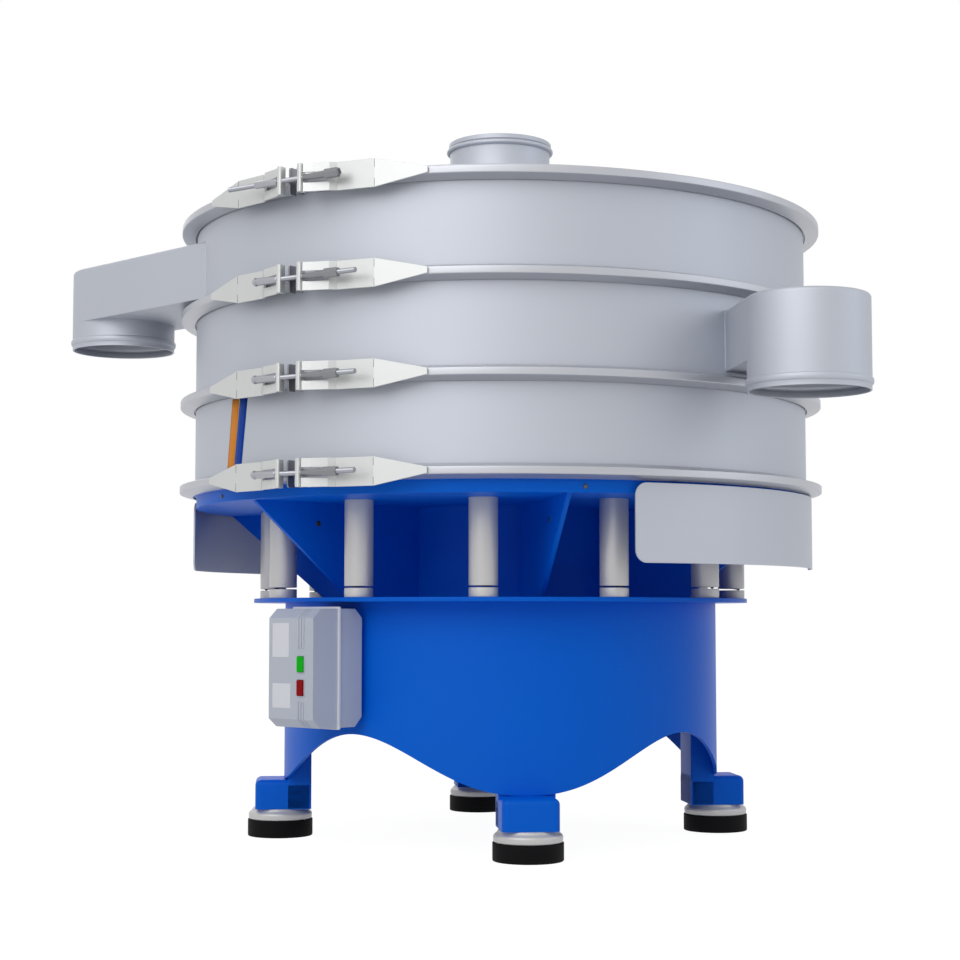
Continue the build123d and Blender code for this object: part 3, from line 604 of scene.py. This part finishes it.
def thread(start, end, radius=4.6, pitch=1.75, depth=0.6):
    """Radius r - depth |wave| at height z and angle a; the wave follows z / pitch - a / turn."""
    z = np.arange(start, end, pitch / 6)[:, None]
    a = np.linspace(0, 2 * np.pi, 24, endpoint=False)[None, :]
    phase = (z / pitch - a / (2 * np.pi)) % 1
    r = radius - depth * np.abs(2 * phase - 1)
    points, faces = grid(np.stack([r * np.cos(a), r * np.sin(a), z + 0 * a], -1), False, True)
    size = a.size
    return points, faces + [list(range(size)), list(range(len(points) - size, len(points)))]


def head_sleeve():
    """Round sleeve with a collar and a domed end."""
    profile = [(0, -85), (4.2, -84.2), (6.6, -82), (7.6, -79.5), (7.6, -76.5), (6.2, -76)]
    profile += [(6.2, -74), (6.9, -73), (6.2, -30), (5.6, -28.4), (0, -28.4)]
    return turned(rounded(profile, 0.5, 2), 36)


def nut():
    """Tapered sleeve, then a hexagon with chamfered ends."""
    outline = [(4.7, 29.2), (5.5, 29.2), (6.6, 74), (6.6, 76), (4.7, 76)]
    sleeve = rounded(outline, [0, 0.5, 0.3, 0, 0], 2)
    ends = [(4.8, 75.8), (7.4, 75.8), (8.9, 77.2), (8.9, 104.6), (7.4, 106), (4.8, 106)]
    return [turned(sleeve, 36), turned(ends, 6)]


bolts = []
plain_sleeve = rounded([(0, -80), (6.6, -80), (6.2, -30), (0, -30)], [0, 1, 1, 0], 3)
for index, joint in enumerate(JOINTS, 1):
    top = index == len(JOINTS)
    bolts.append(laid(thread(-143.0, 104.0) if top else thread(-30.0, 143.0), joint))
    bolts.append(laid(turned(plain_sleeve, 36) if top else head_sleeve(), joint))
    parts, node = [laid(part, joint) for part in nut()], f"clamp_nut_{index}"
    make(f"nut_{index}", parts, node, PLATED, [node])
make("bolts", bolts, "vibrating_stack", BRIGHT, ["clamp_bolts"])

# %% [markdown]
# ## Vibrating table
# The blue table carries the decks and hangs the motor in a tube below its plate. Six gussets brace
# the tube. The plate, rim and tube are turned; a gusset is a flat outline given a thickness. Small
# dark plugs, painted shade, stand for the hole near each gusset's edge.

# %% Table, tube and gussets
PLATE_Z, TABLE_R, TABLE_IN = 641, 607, 599
TUBE_LOW, TUBE_IN, TUBE_OUT = 380, 205, 213
SEAT_LOW, SEAT_TOP, SEAT_IN = 500, 512, 98.5
GUSSETS = [11.5 + 60 * n for n in range(6)]
rim = [(0, PLATE_Z), (TABLE_R, PLATE_Z), (TABLE_R, 663.2), (FLANGE_R, 673.9)]
rim += [(TABLE_IN, 673.9), (TABLE_IN, 651), (0, 651)]
hub = [(TUBE_IN, TUBE_LOW), (TUBE_OUT, TUBE_LOW), (TUBE_OUT, PLATE_Z), (TUBE_IN, PLATE_Z)]
hub += [(TUBE_IN, SEAT_TOP), (SEAT_IN, SEAT_TOP), (SEAT_IN, SEAT_LOW), (TUBE_IN, SEAT_LOW)]
table = [placed(turned(rounded(rim, [0, 2, 1, 0.3, 1, 2, 0], 3), 300))]
table.append(placed(turned(rounded(hub, [2, 2, 0, 0, 2, 1, 1, 2], 3), 144)))


def gusset():
    """Upright web from the tube to the rim, with a sloping lower edge."""
    plan = rounded([(209, PLATE_Z), (597, PLATE_Z), (303.6, 400), (209, 400)], [0, 0, 12, 0], 6)
    points, faces = prism(plan, -4, 4)
    return points[:, [0, 2, 1]], faces


table += [placed(gusset(), angle) for angle in GUSSETS]
make("table_body", table, "vibrating_stack", BLUE, ["table"], bevel=0.8)
stud_line = [(0, -1), (4.2, -1), (4.2, 1.4), (3, 2.4), (0, 2.4)]
hole_shade_line = [(0, -4.7), (5.5, -4.7), (5.5, 4.7), (0, 4.7)]
stud, stud_faces = turned(rounded(stud_line, [0, 0, 0.6, 0.6, 0], 3), 24)
hole_shade, hole_shade_faces = turned(rounded(hole_shade_line, [0, 0.6, 0.6, 0], 3), 24)
stud, hole_shade = stud[:, [2, 1, 0]], hole_shade[:, [0, 2, 1]]
studs_and_hole_shades = [placed((stud, stud_faces), 13.9 + 72 * n, TABLE_R, 651.6) for n in range(5)]
# Dark discs on both faces of each gusset are painted shade of its hole.
studs_and_hole_shades += [placed((hole_shade, hole_shade_faces), angle, 455, 602) for angle in GUSSETS]
make("rim_screws_and_hole_shades", studs_and_hole_shades, "vibrating_stack", IRON)

# %% [markdown]
# ## Springs and sleeves
# Each spring stands on a short seat and pushes up inside a tube. Between the two a narrow groove
# stays open, because the table moves there. A spring is a wire carried along a helix whose coils
# lie closer at both ends.

# %% Springs, sleeves and seats
STATIONS = [-3.7 + 30 * n for n in range(12)]
SPRINGS_AT, SLEEVE_R, SLEEVE_IN = 462, 26.25, 22.3
SLEEVE_LOW, SEAT_FACE = 484.5, 481.5
COIL_TOP, COIL_R, COILS, WIRE_R = 637.5, 14.5, 9.5, 3.0
BASE_LOW, BASE_TOP = 456.5, 464.5


def helix(low, high, radius, turns):
    """Angle grows evenly; height mixes a straight line and a smooth step, 3tt - 2ttt."""
    t = np.linspace(0, 1, int(turns * 20))
    climb = 0.06 * t + 0.94 * (3 * t**2 - 2 * t**3) * 0.25 + 0.94 * 0.75 * t
    a = 2 * np.pi * turns * t
    z = low + (high - low) * climb / climb[-1]
    return np.stack([radius * np.cos(a), radius * np.sin(a), z], -1)


coil = tube(helix(SLEEVE_LOW, COIL_TOP, COIL_R, COILS), WIRE_R, 8, closed=False)
coils = [placed(coil, angle, SPRINGS_AT) for angle in STATIONS]
springs = make("spring_coils", coils, None, SPRING, ["springs"])
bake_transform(springs)
upper = [(SLEEVE_IN, SLEEVE_LOW), (SLEEVE_R, SLEEVE_LOW), (SLEEVE_R, PLATE_Z), (SLEEVE_IN, PLATE_Z)]
upper = turned(rounded(upper, [0.8, 1.6, 0.4, 0.4], 3), 48)
lower = [(0, BASE_TOP), (SLEEVE_R, BASE_TOP), (SLEEVE_R, SEAT_FACE), (0, SEAT_FACE)]
lower = turned(rounded(lower, [0, 1.2, 1.6, 0], 3), 48)
sleeves = [placed(upper, angle, SPRINGS_AT) for angle in STATIONS]
seats = [placed(lower, angle, SPRINGS_AT) for angle in STATIONS]
make("upper_sleeves", sleeves, "vibrating_stack", CAPS, ["spring_sleeves"])
make("lower_seats", seats, "base", CAPS, ["spring_seats"])

# %% [markdown]
# ## Base drum
# The skirt is one sheet rolled round, and its lower edge waves between four legs and four arches.
# The grid runs round the drum and up from that wave to the flange, so the edge is exact.

# %% Skirt, flange and legs
BASE_IN, BASE_OUT = 400, 492
SKIRT_OUT, SKIRT_IN = 430, 424
LEG_ANGLE, SKIRT_LOW, ARCH_TOP = 6.45, 112.2, 215
LEGS = [LEG_ANGLE + 90 * n for n in range(4)]
LEG_HALF, COLUMN_IN, COLUMN_OUT = 51.4, 377, 423.2
BLOCK_LOW, BLOCK_FRONT, BLOCK_ROUND = 55, 486, 11


def skirt(radius):
    """Height runs from the wave, low + rise ((1 + cos 4a) / 2) to a power, up to the flange."""
    a = np.radians(np.arange(360))[:, None]
    wave = (0.5 + 0.5 * np.cos(4 * a - 4 * np.radians(LEG_ANGLE + 45))) ** 1.2
    edge = SKIRT_LOW + (ARCH_TOP - SKIRT_LOW) * wave
    up = np.linspace(0, 1, 12)[None, :]
    z = edge + (BASE_LOW - edge) * up
    return np.stack([radius * np.cos(a) + 0 * z, radius * np.sin(a) + 0 * z, z], -1)


outer, inner = skirt(SKIRT_OUT), skirt(SKIRT_IN)
drum = placed(grid(np.concatenate([outer, inner[:, ::-1]], 1), True, True))
flange = [(BASE_IN, BASE_LOW), (BASE_OUT, BASE_LOW), (BASE_OUT, BASE_TOP), (BASE_IN, BASE_TOP)]
drum = [drum, placed(turned(rounded(flange, 1.2, 3), 240))]
make("base_skirt", drum, "base", BLUE, ["base_drum"], bevel=0.8)


def foot_block():
    """Front and sides draw in by R (1 - cos t) while the block rises by R sin t."""
    t = np.radians(np.linspace(0, 90, 8))
    shoulder = np.c_[BLOCK_ROUND * (1 - np.cos(t)), 101 + BLOCK_ROUND * np.sin(t)]
    rings = []
    for inset, height in np.r_[[(0, BLOCK_LOW)], shoulder]:
        side, front, bend = LEG_HALF - inset, BLOCK_FRONT - inset, 13 - inset
        plan = [(COLUMN_IN, -side), (front, -side), (front, side), (COLUMN_IN, side)]
        plan = rounded(plan, [1, bend, bend, 1], 8)
        rings.append(np.c_[plan, np.full(len(plan), height)])
    points, faces = grid(np.stack(rings), False, True)
    size = len(rings[0])
    return points, faces + [list(range(size)), list(range(len(points) - size, len(points)))]


plan = [(COLUMN_IN, -LEG_HALF), (COLUMN_OUT, -LEG_HALF)]
plan += [(COLUMN_OUT, LEG_HALF), (COLUMN_IN, LEG_HALF)]
column = prism(rounded(plan, [4, 1, 1, 4], 5), 55.5, BASE_LOW)
columns = [placed(column, angle) for angle in LEGS]
blocks = [placed(foot_block(), angle) for angle in LEGS]
make("leg_columns", columns, "base", BLUE, ["legs"], bevel=0.8)
make("foot_blocks", blocks, "base", BLUE, crease=50)

# %% [markdown]
# ## Feet
# A foot is a rubber pad under a pressed steel cap with a soft shoulder. Both are turned profiles.

# %% Pads and caps
FEET_AT, PAD_R, PAD_TOP = 437, 63.5, 33
pad = rounded([(0, 0), (PAD_R, 0), (PAD_R, PAD_TOP), (0, PAD_TOP)], [0, 3, 1.5, 0], 4)
cap = [(0, PAD_TOP), (61.5, PAD_TOP), (62.5, 45), (56, 50), (53, BLOCK_LOW), (0, BLOCK_LOW)]
cap = rounded(cap, [0, 2.5, 7, 3, 1.5, 0], 5)
pads = [placed(turned(pad, 96), angle, FEET_AT) for angle in LEGS]
caps = [placed(turned(cap, 96), angle, FEET_AT) for angle in LEGS]
make("rubber_pads", pads, "base", RUBBER, ["foot_pads"])
make("steel_caps", caps, "base", CAPS, ["foot_caps"])

# %% [markdown]
# ## Starter box
# The box has a back half and a cover that meet at a raised rim. Both are bevelled above and below
# only. The cover's rings run round the same lines as its front face, so two cells of the face can
# be left out for the button pockets.

# %% Box shells
BOX_AT = -42.0
HALF_W, HALF_H, RIM_PROUD = 59, 106.5, 3.5
BOX_FRONT, POCKET_BACK = 560, 547.5


def rectangle(half_w, half_h, radius, steps=6):
    """Points half - radius + radius n at each corner, with n turning through a quarter circle."""
    quarter = np.radians(np.linspace(0, 90, steps + 1))
    turn = (np.radians([0, 90, 180, 270])[:, None] + quarter[None, :]).ravel()
    sign = np.repeat([[1, 1], [-1, 1], [-1, -1], [1, -1]], steps + 1, 0)
    return sign * [half_w - radius, half_h - radius] + radius * np.c_[np.cos(turn), np.sin(turn)]


def lofted(half_w, half_h, corner, rows, centre_y=-1.0, centre_z=337.5):
    """Stacks the rectangle at each (side inset, height inset, distance out) and caps both ends."""
    rings = []
    for inset, inset_h, out in rows:
        flat = rectangle(half_w - inset, half_h - inset_h, max(corner - inset, 0.4))
        rings.append(np.c_[np.full(len(flat), out), flat + [centre_y, centre_z]])
    points, faces = grid(np.stack(rings), False, True)
    size = len(rings[0])
    return points, faces + [list(range(size)), list(range(len(points) - size, len(points)))]


Y_LINES = np.array([-60.0, 17.0, 35.0, 58.0])
POCKETS = ((288.5, 317.5), (330.5, 359.5))


def cover():
    """Rings round the face's own lines, the face without two cells, and a pocket behind each."""
    inner = [height for pocket in POCKETS for height in pocket]
    rings = []
    for out, low, high in ((500, 231, 444), (541.5, 231, 444), (BOX_FRONT, 246.5, 427)):
        z = np.array([low, *inner, high])
        loop = [(y, low) for y in Y_LINES[:-1]] + [(Y_LINES[-1], h) for h in z[:-1]]
        loop += [(y, high) for y in Y_LINES[:0:-1]] + [(Y_LINES[0], h) for h in z[:0:-1]]
        rings.append([(out, *place) for place in loop])
    sides, faces = grid(np.array(rings, float), False, True)
    shapes = [(sides, faces + [list(range(16))])]
    front = np.array([[(BOX_FRONT, y, h) for h in z] for y in Y_LINES])
    keep = np.ones((3, 5), bool)
    keep[1, [1, 3]] = False
    shapes.append(grid(front, keep=keep))
    for low, high in POCKETS:
        loop = [(17, low), (35, low), (35, high), (17, high)]
        ends = [[(out, *place) for place in loop] for out in (BOX_FRONT, POCKET_BACK)]
        walls, faces = grid(np.array(ends, float), False, True)
        shapes.append((walls, faces + [[4, 5, 6, 7]]))
    return joined(shapes)


back = lofted(HALF_W, HALF_H, 2, [(0.5, 16.5, 440), (0, 16, 440.5), (0, 0, 456), (0, 0, 495.5)])
rim_rows = [(0.6, 0.6, 495), (0, 0, 495.6), (0, 0, 499.6), (0.6, 0.6, 500.2)]
rim = lofted(HALF_W + RIM_PROUD, HALF_H + RIM_PROUD, 3, rim_rows)
make("box_back", [placed(back, BOX_AT)], "base", BOX, ["box_body"], bevel=0.8)
front = [placed(cover(), BOX_AT)]
make("box_front", front, "base", BOX, ["box_cover"], bevel=0.7, smooth=False)
make("box_rim", [placed(rim, BOX_AT)], "base", BLANK, bevel=0.5)

# %% [markdown]
# Three flat ribs run over each bevel, a small frame stands round each button, and two blank plates
# fill the places of the signs, which are left out.

# %% Ribs, buttons and the blank plates
KEY_Y, START_Z, STOP_Z = 26.0, 345.0, 303.0


def rib(path, centre, width, proud):
    """A flat bar that follows a path of (distance out, height), raised by a small amount."""
    path = np.asarray(path, float)
    corners = []
    for side, lift in ((-1, -0.4), (-1, proud), (1, proud), (1, -0.4)):
        line = np.c_[path[:, 0] + lift, np.full(len(path), centre + side * width / 2), path[:, 1]]
        corners.append(line)
    points, faces = grid(np.stack(corners, 1), False, True)
    return points, faces + [list(range(4)), list(range(len(points) - 4, len(points)))]


def button_frame(height):
    """Rectangular ring round a button: outer and inner outline at two distances out."""
    outer, inner = rectangle(11, 16.5, 2.5), rectangle(9.1, 14.6, 1.2)
    corners = ((outer, 559.5), (outer, 561.0), (inner, 561.0), (inner, 559.5))
    loops = [np.c_[np.full(len(flat), out), flat + [KEY_Y, height]] for flat, out in corners]
    return grid(np.stack(loops), True, True)


ribs = []
for centre in (19.3, 26.0, 32.7):
    upper = [(543, 442.6), (559.4, 427.8), (BOX_FRONT, 426.5), (BOX_FRONT, 373.5)]
    lower = [(BOX_FRONT, 278), (BOX_FRONT, 247), (559.4, 245.7), (543, 232.3)]
    ribs += [rib(line, centre, 4.6, 1.8) for line in (upper, lower)]
make("box_ribs", [placed(part, BOX_AT) for part in ribs], "base", BOX, bevel=0.3)
frames = [placed(button_frame(height), BOX_AT) for height in (START_Z, STOP_Z)]
make("button_frames", frames, "base", BOX)
keys = (("start", START_Z, GREEN, "green_plastic"), ("stop", STOP_Z, RED, "red_plastic"))
key_rows = [(0.3, 0.3, 552.6), (0, 0, 553), (0, 0, 562.6), (0.9, 0.9, 563.4)]
for name, height, material, slot in keys:
    key, node = placed(lofted(8.3, 13.8, 2, key_rows, KEY_Y, height), BOX_AT), f"{name}_button"
    make(f"{name}_key", [key], node, material, [node], bevel=0.3)
sign_rows = [(0, 0, 559.6), (0, 0, 560.4), (0.3, 0.3, 560.6)]
signs = [lofted(22, 30.5, 1.5, sign_rows, -28, 387.5), lofted(24, 22, 1.5, sign_rows, -25, 288)]
make("blank_plates", [placed(part, BOX_AT) for part in signs], "base", BLANK)

# %% [markdown]
# ## Plates and stripes
# The two curved plates on the table rim are left bare. A rounded rectangle in angle and height,
# wrapped on a cylinder, gives their outline. Its columns lie closer and get shorter at both ends,
# where the corners are. The two slanted stripes on the lowest deck are thin film on the wall.

# %% Curved plates and stripes
HALF_PLATE, PLATE_LOW, PLATE_TOP, PLATE_ROUND = 34, 522, 660, 22
PLATE_OUT, PLATE_IN, STRIPE_LOW, STRIPE_TOP = 620, 617, 693, 828


def wrapped(centre, half_angle, low, high, corner, radius):
    """Columns of a rounded rectangle on a cylinder, closer at its ends: (r cos a, r sin a, z)."""
    half_w, half_h = np.radians(half_angle) * radius, (high - low) / 2
    t = np.radians(np.linspace(0, 90, 13))
    end = half_w - corner * (1 - np.cos(t))
    along = np.r_[-end, np.linspace(corner - half_w, half_w - corner, 60)[1:-1], end[::-1]][:, None]
    cut = np.clip(np.abs(along) - (half_w - corner), 0, corner)
    half = half_h - corner + np.sqrt(np.maximum(corner**2 - cut**2, 0))
    z = (low + high) / 2 + half * np.linspace(-1, 1, 7)[None, :]
    a = along / radius + np.radians(centre) + 0 * z
    return np.stack([radius * np.cos(a), radius * np.sin(a), z], -1)


bands = []
for start in (22.0, 202.0):
    shape = (start + HALF_PLATE, HALF_PLATE, PLATE_LOW, PLATE_TOP, PLATE_ROUND)
    faces_out, faces_in = wrapped(*shape, PLATE_OUT), wrapped(*shape, PLATE_IN)
    points, faces = grid(np.concatenate([faces_out, faces_in[:, ::-1]], 1), False, True)
    size = faces_out.shape[1] * 2
    faces += [list(range(size)), list(range(len(points) - size, len(points)))]
    bands.append(placed((points, faces)))
make("rim_plates", bands, "vibrating_stack", DECK, ["name_bands"], crease=50)


def stripe(low_angle, high_angle, width=2.4, radius=610.35):
    """A slanted strip on the wall: its angle shifts evenly with height."""
    v = np.linspace(0, 1, 9)[:, None]
    a = np.radians(low_angle + (high_angle - low_angle) * v + width * np.linspace(0, 1, 4)[None, :])
    z = STRIPE_LOW + (STRIPE_TOP - STRIPE_LOW) * v + 0 * a
    return placed(grid(np.stack([radius * np.cos(a), radius * np.sin(a), z], -1)))


stripes = (("stripe_orange", -55.5, -53.7, ORANGE), ("stripe_blue", -53.0, -51.1, STRIPE))
for name, foot, head, film in stripes:
    strip = [stripe(foot, head)]
    make(name, strip, "vibrating_stack", film, solid=0.25, outward=False)

# %% [markdown]
# ## Motor and weights
# Under the table hangs an upright motor with cooling fins. Each end of its shaft carries a half
# round weight, whose pull makes the whole stack shake.

# %% Motor, shaft and weights
fins = np.repeat(np.arange(350, 486, 8.0), 4).reshape(-1, 4) + [0, 2.0, 2.5, 4.5]
ridge = np.tile([108.0, 108.0, 115.0, 115.0], (len(fins), 1))
ribbed = np.c_[ridge.ravel(), fins.ravel()]
foot = [(0, 330), (112, 330), (115, 334), (115, 346)]
crown = [(115, 490), (115, SEAT_LOW), (98, SEAT_LOW), (98, 586), (94, 590), (0, 590)]
motor = [placed(turned(np.r_[foot, ribbed, crown], 96))]
make("motor_shell", motor, "vibrating_stack", MOTOR, ["motor_body"])
shaft = rounded([(0, 262), (20, 262), (20, 634), (0, 634)], [0, 1.5, 1.5, 0], 3)
shaft = [placed(turned(shaft, 48))]
make("shaft_rod", shaft, "rotor", SHAFT, ["motor_shaft"])


def half_weight(radius, low, hub=36, thick=34):
    """Half circle of the weight, then the half circle of its clamping hub."""
    out = np.radians(np.linspace(-90, 90, 49))
    hub_arc = np.radians(np.linspace(90, 270, 25))
    half, rest = np.c_[np.cos(out), np.sin(out)], np.c_[np.cos(hub_arc), np.sin(hub_arc)]
    return placed(prism(np.r_[radius * half, hub * rest], low, low + thick), 90)


upper, lower = [half_weight(150, 596)], [half_weight(165, 270)]
make("weight_upper", upper, "rotor", IRON, ["upper_weight"], bevel=1.5)
make("weight_lower", lower, "lower_weight", IRON, ["lower_weight"], bevel=1.5)

# %% [markdown]
# ## Pieces kept from the CAD
# Screens, floor cone, gaskets, spacers and the box's bracket are already right as solids, so they
# only get a finish. The screens show woven wire: two bands of waves, one along X and one along Y.

# %% Finishes on kept nodes
WIRES = 160
MESH = finish("woven_wire", srgb(150, 152, 156), 0.4, 0.05, 10, 0.1, (50, 50, 50), Metallic=0.9)
tree = MESH.node_tree
where = tree.nodes["Texture Coordinate"]
shade = tree.nodes["Principled BSDF"]
waves = []
for direction in ("X", "Y"):
    wave = tree.nodes.new("ShaderNodeTexWave")
    wave.bands_direction = direction
    wave.inputs["Scale"].default_value = WIRES
    tree.links.new(where.outputs["Object"], wave.inputs["Vector"])
    waves.append(wave)
both = tree.nodes.new("ShaderNodeMath")
both.operation = "MAXIMUM"
tree.links.new(waves[0].outputs["Fac"], both.inputs[0])
tree.links.new(waves[1].outputs["Fac"], both.inputs[1])
weave = tree.nodes.new("ShaderNodeMix")
weave.data_type = "RGBA"
weave.inputs["A"].default_value = srgb(40, 42, 44)
weave.inputs["B"].default_value = srgb(170, 172, 176)
tree.links.new(both.outputs[0], weave.inputs["Factor"])
tree.links.new(weave.outputs["Result"], shade.inputs["Base Color"])
kept = {"upper_screen": MESH, "lower_screen": MESH, "discharge_dome": DECK, "flange_gaskets": SEAL}
kept.update({"band_spacers": BRIGHT, "box_bracket": BLUE})
for name, material in kept.items():
    mesh = frame["nodes"][name].data
    mesh.materials.clear()
    mesh.materials.append(material)
print(sorted(kept), "kept")

# %% [markdown]
# ## Floor, light and camera
# The machine stands in a white studio. The floor is white for the camera and for reflections, and
# keeps a soft shadow. The world fills in evenly, and is white to the camera and in reflections.

# %% Floor and world
FLOOR_GLOW, FLOOR_SHARE, WORLD_FILL, HALF_FLOOR = 1.12, 0.86, 0.30, 30000


def seen_rays(tree):
    """One where a ray comes from the camera, a reflection or a clear surface."""
    path = tree.nodes.new("ShaderNodeLightPath")
    total = path.outputs["Is Camera Ray"]
    for name in ("Is Glossy Ray", "Is Transmission Ray"):
        add = tree.nodes.new("ShaderNodeMath")
        add.operation = "MAXIMUM"
        tree.links.new(total, add.inputs[0])
        tree.links.new(path.outputs[name], add.inputs[1])
        total = add.outputs[0]
    return total


ends = (-HALF_FLOOR, HALF_FLOOR)
floor_points = np.array([[[x, y, 0.0] for x in ends] for y in ends], float)
floor_mesh = bpy.data.meshes.new("floor")
points, faces = grid(floor_points)
floor_mesh.from_pydata((points / MM_PER_METRE).tolist(), [], faces)
floor = bpy.data.objects.new("floor", floor_mesh)
bpy.context.scene.collection.objects.link(floor)
ground = bpy.data.materials.new("pale_floor")
ground.use_nodes = True
tree = ground.node_tree
matt = tree.nodes["Principled BSDF"]
matt.inputs["Base Color"].default_value = (0.9, 0.9, 0.9, 1)
matt.inputs["Roughness"].default_value = 0.9
glow = tree.nodes.new("ShaderNodeEmission")
glow.inputs["Strength"].default_value = FLOOR_GLOW
blend = tree.nodes.new("ShaderNodeMixShader")
share = tree.nodes.new("ShaderNodeMath")
share.operation = "MULTIPLY"
share.inputs[1].default_value = FLOOR_SHARE
tree.links.new(seen_rays(tree), share.inputs[0])
tree.links.new(share.outputs[0], blend.inputs["Fac"])
tree.links.new(matt.outputs[0], blend.inputs[1])
tree.links.new(glow.outputs[0], blend.inputs[2])
tree.links.new(blend.outputs[0], tree.nodes["Material Output"].inputs["Surface"])
floor_mesh.materials.append(ground)

world = bpy.data.worlds.new("studio")
bpy.context.scene.world = world
world.use_nodes = True
tree = world.node_tree
sky = tree.nodes["Background"]
sky.inputs["Color"].default_value = (1, 1, 1, 1)
level = tree.nodes.new("ShaderNodeMapRange")
level.inputs["To Min"].default_value = WORLD_FILL
level.inputs["To Max"].default_value = 1.0
tree.links.new(seen_rays(tree), level.inputs["Value"])
tree.links.new(level.outputs["Result"], sky.inputs["Strength"])

# %% [markdown]
# Three large soft lamps shape the drum: the key from the left front, a cooler one from the right
# and one from behind. The camera stands low and looks slightly up, as in the photograph.

# %% Lamps and camera
LENS, FILM_WIDTH = 70.56, 36.0
DISTANCE, EYE_HEIGHT, LOOK_UP, LOOK_LEFT = 3.7969, 0.43296, 0.0715, 0.0107


def lamp(name, place, target, size, power, colour=(1, 1, 1)):
    """A square soft box that faces a target."""
    data = bpy.data.lights.new(name, "AREA")
    data.size, data.energy, data.color = size, power, colour
    obj = bpy.data.objects.new(name, data)
    obj.location = place
    toward = np.subtract(target, place)
    heading = np.arctan2(toward[1], toward[0]) - np.pi / 2
    tilt = np.arctan2(toward[2], np.hypot(toward[0], toward[1])) + np.pi / 2
    obj.rotation_euler = (tilt, 0, heading)
    bpy.context.scene.collection.objects.link(obj)


lamp("key", (-1.7, -4.0, 3.3), (0, 0, 0.7), 4.2, 103)
lamp("side", (4.0, -1.2, 1.8), (0, 0, 0.8), 2.6, 16, (0.80, 0.88, 1.0))
lamp("back", (-1.5, 3.6, 3.2), (0, 0, 0.8), 2.6, 30)
camera_data = bpy.data.cameras.new("camera")
camera_data.lens, camera_data.sensor_width = LENS, FILM_WIDTH
camera = bpy.data.objects.new("camera", camera_data)
camera.location = (HOME[0], HOME[1] - DISTANCE, EYE_HEIGHT)
camera.rotation_euler = (np.pi / 2 + LOOK_UP, 0, LOOK_LEFT)
bpy.context.scene.collection.objects.link(camera)
bpy.context.scene.camera = camera
bpy.context.scene.view_settings.view_transform = "Standard"

# %% [markdown]
